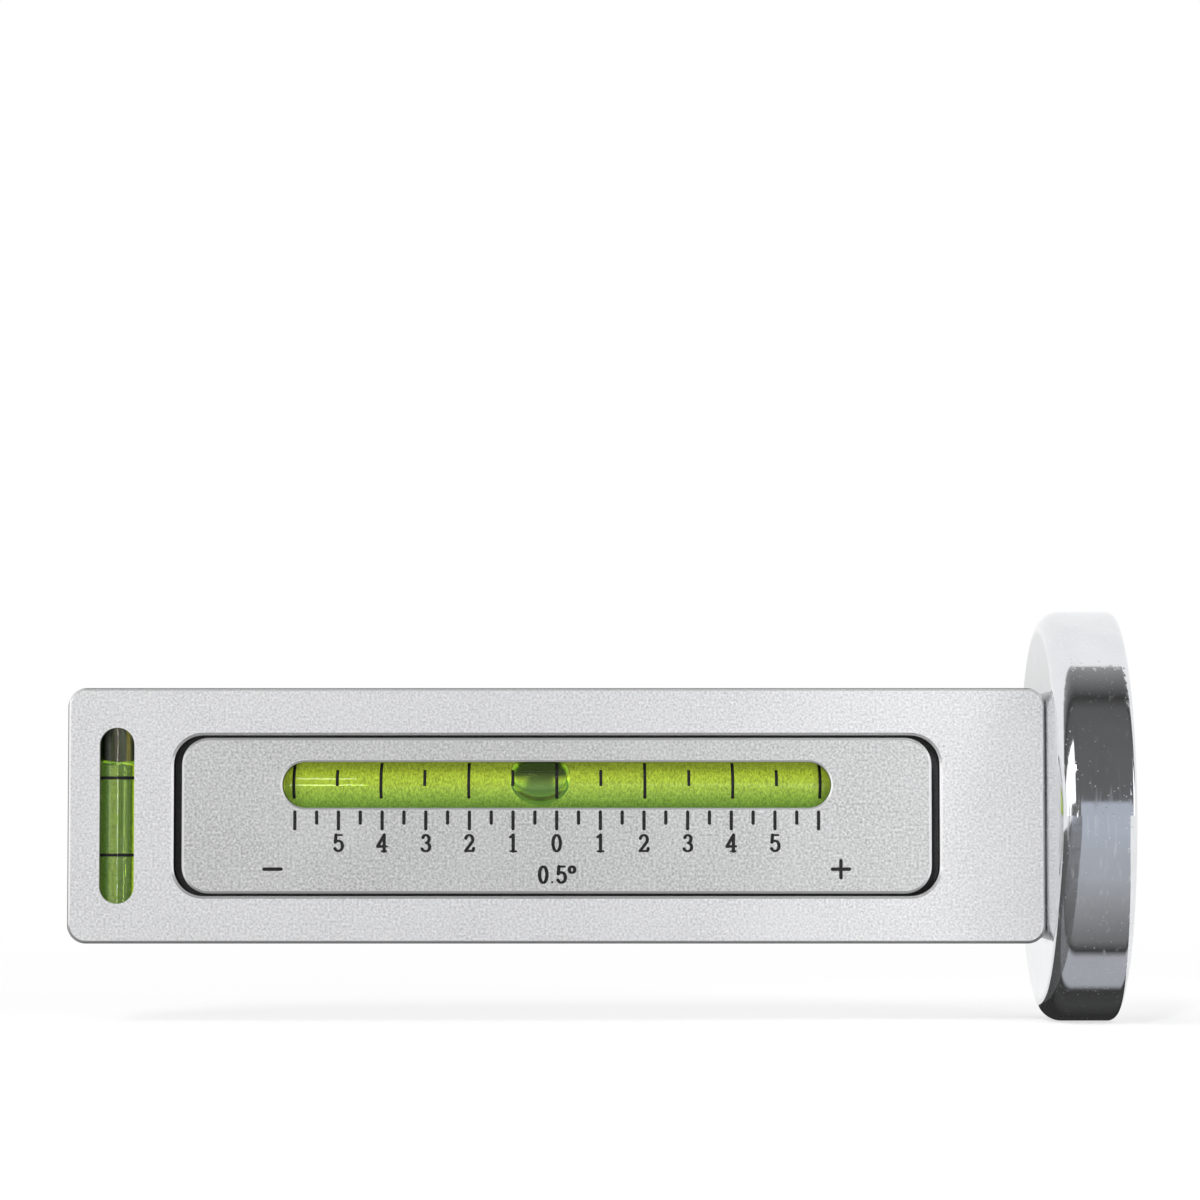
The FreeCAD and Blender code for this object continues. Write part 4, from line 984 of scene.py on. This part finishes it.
# %% Return spring
coil_mesh = bmesh.new()
coil_mesh.from_mesh(nodes["return_spring"].data)
bmesh.ops.remove_doubles(coil_mesh, verts=coil_mesh.verts, dist=0.001 * MM)
coil = sharpen(finish_piece(coil_mesh, "coil_spring", steel_finish, None))
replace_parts(coil, "return_spring")
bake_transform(coil)

# %% [markdown]
# ## The printed scale
# Marks are strokes of ink with round ends. Each is a capsule: two small balls under one skin, made
# by a convex hull, and then pressed nearly flat. A curved stroke is a chain of short capsules.

# %% Ink strokes
INK_RISE = 0.02 * MM
DEGREE_STEP = camber_vial["bend"] * math.radians(1)


def merge_into(bm, part):
    """Adds one bmesh to another, and frees it."""
    mesh = bpy.data.meshes.new("part")
    part.to_mesh(mesh)
    part.free()
    bm.from_mesh(mesh)
    bpy.data.meshes.remove(mesh)


def add_capsule(bm, ends, radii):
    """Two small balls under one skin."""
    part = bmesh.new()
    for (x, z), radius in zip(ends, radii):
        ball = bmesh.ops.create_uvsphere(part, u_segments=12, v_segments=8, radius=radius)
        bmesh.ops.translate(part, verts=ball["verts"], vec=(x, 0, z))
    hull = bmesh.ops.convex_hull(part, input=part.verts, use_existing_faces=False)
    inside = only(bmesh.types.BMVert, hull["geom_interior"] + hull["geom_unused"])
    bmesh.ops.delete(part, geom=inside, context="VERTS")
    merge_into(bm, part)


def add_stroke(bm, points, stem, hair=None):
    """A chain of capsules through points in X and Z. Upright parts have the stem's width."""
    hair = hair or stem
    radii = []
    for index in range(len(points)):
        before = points[max(index - 1, 0)]
        after = points[min(index + 1, len(points) - 1)]
        lean = Vector((after[0] - before[0], after[1] - before[1]))
        radii.append((hair + (stem - hair) * abs(lean.normalized().y)) / 2)
    for first in range(len(points) - 1):
        add_capsule(bm, points[first : first + 2], radii[first : first + 2])


def finish_ink(bm, name, width, face_y, body):
    """Presses strokes flat, lays them on a face and gives them to a body."""
    bmesh.ops.scale(bm, vec=(1, 2 * INK_RISE / width, 1), verts=bm.verts)
    bmesh.ops.translate(bm, verts=bm.verts, vec=(0, face_y, 0))
    finish_piece(bm, name, ink_finish, body)


# %% Numerals
# Each numeral is a few strokes in a box one high, and about half as wide, with small serifs.
NUMERALS = {
    "0": [arc((0.29, 0.5), (0.23, 0.5), 0, 360, 24)],
    "1": [[(0.12, 0.88), (0.3, 1.0)], [(0.3, 1.0), (0.3, 0.0)], [(0.12, 0.0), (0.48, 0.0)]],
    "2": [
        arc((0.29, 0.73), (0.22, 0.27), 165, -38) + [(0.06, 0.02)],
        [(0.06, 0.02), (0.54, 0.02), (0.56, 0.17)],
    ],
    "3": [arc((0.28, 0.76), (0.2, 0.24), 160, -90), arc((0.27, 0.26), (0.25, 0.26), 90, -155)],
    "4": [
        [(0.43, 0.0), (0.43, 1.0)],
        [(0.43, 1.0), (0.03, 0.3), (0.6, 0.3)],
        [(0.28, 0.0), (0.56, 0.0)],
    ],
    "5": [
        [(0.5, 1.0), (0.14, 1.0)],
        [(0.14, 1.0), (0.1, 0.56)] + arc((0.29, 0.33), (0.25, 0.32), 125, -150),
    ],
    ".": [[(0.06, 0.04), (0.07, 0.04)]],
    "o": [arc((0.17, 0.81), (0.17, 0.19), 0, 360, 20)],
}
GLYPH_WIDTH = {"0": 0.58, "1": 0.58, "2": 0.6, "3": 0.54, "4": 0.6, "5": 0.58, ".": 0.14, "o": 0.34}
GLYPH_GAP = 0.2


def make_glyph(glyph, height, stem, hair):
    """The mesh of one glyph, with its left foot at the origin."""
    bm = bmesh.new()
    for stroke in NUMERALS[glyph]:
        add_stroke(bm, [(height * x, height * z) for x, z in stroke], stem, hair)
    mesh = bpy.data.meshes.new("glyph " + glyph)
    bm.to_mesh(mesh)
    bm.free()
    return mesh


def write_glyphs(bm, glyphs, kit, middle_x, foot_z, height, mirror):
    """Writes glyphs of a kit about a middle. mirror is -1 on a face that is read from behind."""
    total = sum(GLYPH_WIDTH[glyph] for glyph in glyphs) + GLYPH_GAP * (len(glyphs) - 1)
    cursor = -total / 2
    turn = Matrix.Rotation(math.pi if mirror < 0 else 0.0, 4, "Z")
    for glyph in glyphs:
        corner = Vector((middle_x + mirror * height * cursor, 0, foot_z))
        part = bmesh.new()
        part.from_mesh(kit[glyph])
        bmesh.ops.transform(part, matrix=Matrix.Translation(corner) @ turn, verts=part.verts)
        merge_into(bm, part)
        cursor += GLYPH_WIDTH[glyph] + GLYPH_GAP


# %% The scale of one plate
TICK_WIDTH = 0.4 * MM
TICK_START = 0.5 * MM
LONG_TICK = 2.46 * MM
SHORT_TICK = 1.8 * MM
NUMERAL_HEIGHT = 1.9 * MM
NUMERAL_DROP = 3.2 * MM
NUMERAL_STEM = 0.40 * MM
NUMERAL_HAIR = 0.24 * MM
SIGN_DROP = 7.2 * MM
SIGN_REACH = 1.0 * MM
SIGN_X = 33.4 * MM
LEGEND_DROP = 6.9 * MM
LEGEND_HEIGHT = 1.9 * MM
LEGEND_STEM = 0.42 * MM
LEGEND_HAIR = 0.26 * MM
numeral_kit = {
    glyph: make_glyph(glyph, NUMERAL_HEIGHT, NUMERAL_STEM, NUMERAL_HAIR) for glyph in "012345"
}
legend_kit = {
    glyph: make_glyph(glyph, LEGEND_HEIGHT, LEGEND_STEM, LEGEND_HAIR) for glyph in "05.o"
}


def make_scale(name, face_y, edge_z, down, mirror, body):
    """Ticks for each half degree, a numeral for each degree, and plus and minus signs.

    edge_z is the window's edge that the ticks start from, and down is -1 where they hang from it.
    """
    ticks = bmesh.new()
    for half_degree in range(-12, 13):
        x = SCALE_MIDDLE_X + DEGREE_STEP * half_degree / 2
        reach = LONG_TICK if half_degree % 2 == 0 else SHORT_TICK
        ends = [(x, edge_z + down * TICK_START), (x, edge_z + down * reach)]
        add_capsule(ticks, ends, [TICK_WIDTH / 2, TICK_WIDTH / 2])
    finish_ink(ticks, name + "_ticks", TICK_WIDTH, face_y, body)
    numerals = bmesh.new()
    for degree in range(-5, 6):
        x = SCALE_MIDDLE_X + DEGREE_STEP * degree
        foot = edge_z + down * NUMERAL_DROP + min(down, 0) * NUMERAL_HEIGHT
        write_glyphs(numerals, str(abs(degree)), numeral_kit, x, foot, NUMERAL_HEIGHT, mirror)
    finish_ink(numerals, name + "_numerals", NUMERAL_STEM, face_y, body)
    signs = bmesh.new()
    foot = edge_z + down * LEGEND_DROP + min(down, 0) * LEGEND_HEIGHT
    write_glyphs(signs, "0.5o", legend_kit, SCALE_MIDDLE_X, foot, LEGEND_HEIGHT, mirror)
    z = edge_z + down * SIGN_DROP
    for x in (-SIGN_X, SIGN_X):
        middle = SCALE_MIDDLE_X + mirror * x
        add_stroke(signs, [(middle - SIGN_REACH, z), (middle + SIGN_REACH, z)], LEGEND_STEM)
        if x > 0:
            add_stroke(signs, [(middle, z - SIGN_REACH), (middle, z + SIGN_REACH)], LEGEND_STEM)
    finish_ink(signs, name + "_signs", LEGEND_STEM, face_y, body)


WINDOW_HALF = 2.7 * MM
camber_edge = camber_vial["centre"].z - WINDOW_HALF
caster_edge = caster_vial["centre"].z + WINDOW_HALF
make_scale("camber_scale", plate_low.y, camber_edge, -1, 1, "gauge")
make_scale("caster_scale", caster_high.y, caster_edge, 1, -1, "caster_carrier")
print("scale of", round(DEGREE_STEP / MM, 3), "mm a degree")

# %% [markdown]
# The vials carry lines of their own, so that the bubble can be read against them. They are wrapped
# round the tube: a thin block of ink is spun about the tube's axis, long at even degrees and short
# at odd ones.

# %% Lines on the vials
LINE_WIDTH = 0.36 * MM
LINE_SINK = 0.01 * MM
CROSS_LINES = (4.44 * MM, -4.63 * MM)
CROSS_LINE_REACH = 2.35 * MM


def add_wrapped_line(bm, place, radius, first, last):
    """A closed band of ink, spun about the local X axis of a place, from one height to another."""
    half = LINE_WIDTH / 2
    start = math.asin(first / radius)
    finish = math.asin(last / radius)
    corners = []
    for x, out in ((-half, -LINE_SINK), (half, -LINE_SINK), (half, INK_RISE), (-half, INK_RISE)):
        reach = radius + out
        corners.append(place @ Vector((x, -reach * math.cos(start), reach * math.sin(start))))
    face = bm.faces.new([bm.verts.new(corner) for corner in corners])
    axis = place.to_3x3() @ Vector((-1, 0, 0))
    spin(bm, [face], place.translation, axis, finish - start, 14)


def facing(side):
    """Turns what faces the camber side to the side that is read."""
    return Matrix.Rotation(math.pi if side > 0 else 0.0, 4, "Z")


def make_vial_lines(vial, long_reach, short_reach):
    """Lines at each whole degree, on the side of the tube that is read."""
    bm = bmesh.new()
    for degree in range(-6, 7):
        first, last = long_reach if degree % 2 == 0 else short_reach
        place = station(vial, degree) @ facing(vial["side"])
        add_wrapped_line(bm, place, vial["radius"], first, last)
    finish_piece(bm, vial["name"] + "_vial_lines", ink_finish, vial["body"])


def make_cross_lines(name, side):
    """Two lines across a cross vial, one on each side of where the bubble rests when level."""
    low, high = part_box(name + "_cross_seal")
    bm = bmesh.new()
    for height in CROSS_LINES:
        centre = Vector(((low.x + high.x) / 2, (low.y + high.y) / 2, height))
        place = Matrix.Translation(centre) @ facing(side) @ Matrix.Rotation(math.pi / 2, 4, "Y")
        add_wrapped_line(bm, place, (high.x - low.x) / 2, -CROSS_LINE_REACH, CROSS_LINE_REACH)
    finish_piece(bm, name + "_cross_lines", ink_finish, "gauge")


make_vial_lines(camber_vial, (-1.6 * MM, 2.57 * MM), (-0.14 * MM, 1.75 * MM))
make_vial_lines(caster_vial, (-2.57 * MM, 1.6 * MM), (-1.75 * MM, 0.14 * MM))
make_cross_lines("front", -1)
make_cross_lines("rear", 1)

# %% [markdown]
# ## The studio
# The camera stands level with the bar, half a metre away, with a long lens. It is tipped up by
# three degrees, which sets the gauge low in the picture.

# %% Camera
FOCAL_PIXELS = 4189.0
PICTURE_PIXELS = 1200.0
BAR_MIDDLE_PIXEL = 815.64
CAMERA_X = -61.41 * MM
CAMERA_DISTANCE = 502.2 * MM
SENSOR = 36.0

tip = math.asin((BAR_MIDDLE_PIXEL - PICTURE_PIXELS / 2) / FOCAL_PIXELS)
camera_data = bpy.data.cameras.new("camera")
camera_data.sensor_width = SENSOR
camera_data.lens = SENSOR * FOCAL_PIXELS * math.cos(tip) / PICTURE_PIXELS
camera = bpy.data.objects.new("camera", camera_data)
bpy.context.scene.collection.objects.link(camera)
camera.location = (CAMERA_X, -CAMERA_DISTANCE, 0.0)
camera.rotation_euler = (math.pi / 2 + tip, 0.0, 0.0)
bpy.context.scene.camera = camera
print("lens %.1f mm, tipped up %.2f degrees" % (camera_data.lens, math.degrees(tip)))

# %% [markdown]
# The floor catches a soft shadow under the gauge and melts into plain white further out. The room
# is white where it is seen, and softer as a light, so that the blasted metal doesn't wash out.

# %% Floor
FLOOR_Z = cad_box[0][2]
FLOOR_SHADE = 0.45
FLOOR_LIFT = 0.66
FLOOR_FADE = (0.08, 0.35)
WHITE = (1.0, 1.0, 1.0, 1.0)


def bare_material(name):
    """A material that has no shader as yet, and its tree."""
    material = bpy.data.materials.new(name)
    material.use_nodes = True
    material.node_tree.nodes.clear()
    return material, material.node_tree


def make_floor():
    """A white floor that shows a soft shadow under the gauge, and is plain white further out."""
    bm = bmesh.new()
    bmesh.ops.create_grid(bm, x_segments=1, y_segments=1, size=8.0)
    bmesh.ops.translate(bm, verts=bm.verts, vec=(0, 0, FLOOR_Z))
    material, tree = bare_material("white_floor")
    place = add(tree, "ShaderNodeTexCoord").outputs["Object"]
    centred = add(tree, "ShaderNodeMapping", Location=(-SCALE_MIDDLE_X, 0.0, 0.0), Vector=place)
    reach = add(tree, "ShaderNodeVectorMath", operation="LENGTH")
    join(centred.outputs["Vector"], reach.inputs[0])
    fade = rescale(reach.outputs["Value"], 0.0, 1.0, *FLOOR_FADE)
    cloth = add(tree, "ShaderNodeBsdfDiffuse", Color=(*grey(FLOOR_SHADE), 1.0))
    lift = add(tree, "ShaderNodeEmission", Color=WHITE, Strength=FLOOR_LIFT)
    near = add(tree, "ShaderNodeAddShader")
    far = add(tree, "ShaderNodeEmission", Color=WHITE, Strength=1.0)
    mix = add(tree, "ShaderNodeMixShader", Fac=fade)
    join(cloth.outputs["BSDF"], near.inputs[0])
    join(lift.outputs["Emission"], near.inputs[1])
    join(near.outputs["Shader"], mix.inputs[1])
    join(far.outputs["Emission"], mix.inputs[2])
    add(tree, "ShaderNodeOutputMaterial", Surface=mix.outputs["Shader"])
    floor = link_mesh(bm, "floor", material)


# %% World and lamps
WORLD_LEVEL = 0.55


def make_world(level):
    """A white room for the camera, for mirrors and through glass, and a softer one for matt light."""
    world = bpy.data.worlds.new("white_room")
    bpy.context.scene.world = world
    world.use_nodes = True
    background = world.node_tree.nodes["Background"].inputs
    ray = add(world.node_tree, "ShaderNodeLightPath").outputs
    seen = compute("MAXIMUM", ray["Is Camera Ray"], ray["Is Glossy Ray"])
    seen = compute("MAXIMUM", seen, ray["Is Transmission Ray"])
    fill(background["Strength"], rescale(seen, level, 1.0))
    fill(background["Color"], WHITE)


def make_lamp(name, place, target, width, height, watts):
    """A soft box that looks at the gauge. What mirrors see of it is a card instead."""
    data = bpy.data.lights.new(name, "AREA")
    data.shape = "RECTANGLE"
    data.size = width
    data.size_y = height
    data.energy = watts
    lamp = bpy.data.objects.new(name, data)
    bpy.context.scene.collection.objects.link(lamp)
    lamp.location = place
    lamp.rotation_euler = (Vector(target) - Vector(place)).to_track_quat("-Z", "Y").to_euler()
    lamp.visible_glossy = False
    return lamp


make_floor()
make_world(WORLD_LEVEL)
aim = (SCALE_MIDDLE_X, 0.0, 0.0)
make_lamp("key_lamp", (-0.55, -0.75, 0.75), aim, 0.5, 0.4, 3.85)
make_lamp("side_lamp", (0.6, -0.7, 0.25), aim, 0.3, 0.5, 2.0)
end_lamp = make_lamp("end_lamp", (-0.12, -0.45, 0.28), (-0.014, -0.01, 0.0), 0.05, 0.05, 0.005)
end_lamp.data.spread = math.radians(9)

# %% [markdown]
# Chrome has no colour of its own: it shows the room. The room in front of this gauge is a dark flag
# that arches from eye level to overhead, with a soft box on the left and one on the right, and a
# grey table in front of the disc. They are cards that only mirrors and glass see.

# %% Cards that mirrors see
ROOM_RADIUS = 0.7


def make_card(name, bm, colours, share=None, strength=1.0):
    """A card that glows in one colour, or in a ramp that follows a share of the card."""
    material, tree = bare_material(name)
    if share:
        place = add(tree, "ShaderNodeTexCoord").outputs["Object"]
        colour = colour_ramp(share(place), colours)
    else:
        colour = (*colours, 1.0)
    glow = add(tree, "ShaderNodeEmission", Color=colour, Strength=strength)
    add(tree, "ShaderNodeOutputMaterial", Surface=glow.outputs["Emission"])
    card = link_mesh(bm, name, material)
    card.visible_camera = False
    card.visible_diffuse = False
    card.visible_shadow = False


def make_sheet(corners):
    """One flat face."""
    bm = bmesh.new()
    bm.faces.new([bm.verts.new(corner) for corner in corners])
    return bm


def make_arch(first, last, left, right, radius=ROOM_RADIUS, steps=32):
    """Part of a cylinder about the X axis, between two elevations seen from the gauge."""
    bm = bmesh.new()
    rows = []
    for y, z in arc((0, 0), (-radius, radius), first, last, steps):
        rows.append((bm.verts.new((left, y, z)), bm.verts.new((right, y, z))))
    for low, high in zip(rows, rows[1:]):
        bm.faces.new((low[0], low[1], high[1], high[0]))
    return bm


# %% The dark flag overhead
FLAG_FROM = -3.0
FLAG_EDGE = 7.4
EDGE_BLUR = 0.8
FLAG_TO = 90.4
FLAG_SPLIT = -0.06
FLAG_LEFT = -3.0
FLAG_RIGHT = 4.0


def elevation_share(place):
    """0 at the foot of the flag and 1 at its top."""
    front = compute("MULTIPLY", axis_of(place, "Y"), -1.0)
    turn = compute("ARCTAN2", axis_of(place, "Z"), front)
    return rescale(turn, 0.0, 1.0, math.radians(FLAG_FROM), math.radians(FLAG_TO))


def at_elevation(degrees):
    """Where an elevation lies on the flag's ramp."""
    return (degrees - FLAG_FROM) / (FLAG_TO - FLAG_FROM)


flag_top = [(0.68, grey(0.12)), (0.76, grey(0.05)), (0.82, grey(0.13)), (1.0, grey(0.34))]
flag_foot = [
    (0.0, grey(0.50, 0.22)),
    (at_elevation(FLAG_EDGE - EDGE_BLUR), grey(0.50, 0.22)),
    (at_elevation(FLAG_EDGE + EDGE_BLUR), grey(0.15)),
    (0.55, grey(0.135)),
]
vial_greys = [(0.0, grey(0.16)), (1.0, grey(0.15))]
for name, first, last, left, right, greys in (
    ("vial_flag", FLAG_FROM, FLAG_EDGE, FLAG_LEFT, FLAG_SPLIT, vial_greys),
    ("upper_flag", FLAG_EDGE, FLAG_TO, FLAG_LEFT, FLAG_SPLIT, [(0.0, grey(0.15))] + flag_top),
    ("dark_flag", FLAG_FROM, FLAG_TO, FLAG_SPLIT, FLAG_RIGHT, flag_foot + flag_top),
):
    make_card(name, make_arch(first, last, left, right), greys, elevation_share)

# %% The table in front of the disc
TABLE_Z = FLOOR_Z + 0.02 * MM
TABLE_LENGTH = 160 * MM


def distance_share(place):
    """0 under the gauge and 1 at the far end of the table, evened out by a square root."""
    return compute("SQRT", rescale(axis_of(place, "Y"), 0.0, 1.0, 0.0, -TABLE_LENGTH))


# Pairs of a distance in front of the gauge, in millimetres, and the table's grey there. The darkest
# greys, right under the disc, are a painted shadow that the chrome mirrors.
table_greys_and_painted_shadow = (
    (0.0, grey(0.03)),
    (5.0, grey(0.03)),
    (8.5, grey(0.06)),
    (11.8, grey(0.05)),
    (12.8, grey(0.42, 0.10)),
    (18.8, grey(0.44, 0.10)),
    (20.2, grey(0.05)),
    (22.5, grey(0.19)),
    (30.0, grey(0.30, 0.05)),
    (48.0, grey(0.44, 0.12)),
    (160.0, grey(0.50, 0.22)),
)
table_edge = ((-0.010, 0.02), (0.0, 0.02), (0.115, -ROOM_RADIUS), (-0.62, -ROOM_RADIUS))
grey_stops = [(math.sqrt(away * MM / TABLE_LENGTH), colour) for away, colour in table_greys_and_painted_shadow]
dark_stops = [(0.0, grey(0.10)), (1.0, grey(0.16))]
dark_edge = ((-0.30, 0.012), (-0.30, -ROOM_RADIUS), (-0.012, -ROOM_RADIUS), (-0.012, 0.012))
for name, edge, stops in (
    ("grey_table", table_edge, grey_stops),
    ("dark_table", dark_edge, dark_stops),
):
    make_card(name, make_sheet([(x, y, TABLE_Z) for x, y in edge]), stops, distance_share)

# %% Soft boxes, screens and the card behind
BOX_RADIUS = ROOM_RADIUS - 0.01
for name, first, last, left, right, strength in (
    ("left_soft_box", -1.0, 44.0, -2.6, -0.70, 1.6),
    ("left_near_box", FLAG_EDGE, 44.0, -0.70, -0.315, 1.6),
    ("right_soft_box", -1.0, 44.0, 1.02, 3.5, 1.6),
    ("upper_strip", 25.0, 28.0, -0.315, -0.235, 6.0),
    ("lower_strip", -1.0, 1.5, -0.315, -0.235, 6.0),
    ("window_strip", -2.8, 2.8, -0.206, -0.188, 20.0),
):
    make_card(name, make_arch(first, last, left, right, BOX_RADIUS), grey(1.0), None, strength)


def upright(y, left, right, low, high):
    """An upright sheet that faces the gauge."""
    return make_sheet([(left, y, low), (right, y, low), (right, y, high), (left, y, high)])


# Two small dark screens close by hide a strip from one vial and not from the other.
SCREEN_DISTANCE = 0.10
SCREEN_SHADE = 0.13
for name, *sides in (
    ("dash_screen", -106.0, -93.0, -3.0, 10.0),
    ("column_screen", -150.0, -131.5, -12.0, 12.0),
):
    screen = upright(-SCREEN_DISTANCE, *[side * MM for side in sides])
    make_card(name, screen, grey(SCREEN_SHADE))

# The disc's flat back looks past the bar at a card behind the gauge.
BACK_DISTANCE = 0.6
BACK_LOW = -0.024
BACK_HIGH = 0.07


def height_share(place):
    """0 at the floor and 1 at the top of the back card."""
    return rescale(axis_of(place, "Z"), 0.0, 1.0, BACK_LOW, BACK_HIGH)


back_greys = [(0.0, grey(0.30)), (0.25, grey(0.52)), (0.6, grey(0.78)), (1.0, grey(1.0))]
back_sheet = upright(BACK_DISTANCE, -0.16, -0.02, BACK_LOW, BACK_HIGH)
make_card("back_card", back_sheet, back_greys, height_share)

# %% The view transform, and the frame's size
bpy.context.scene.view_settings.view_transform = "Standard"
print("CAD box:", cad_box)
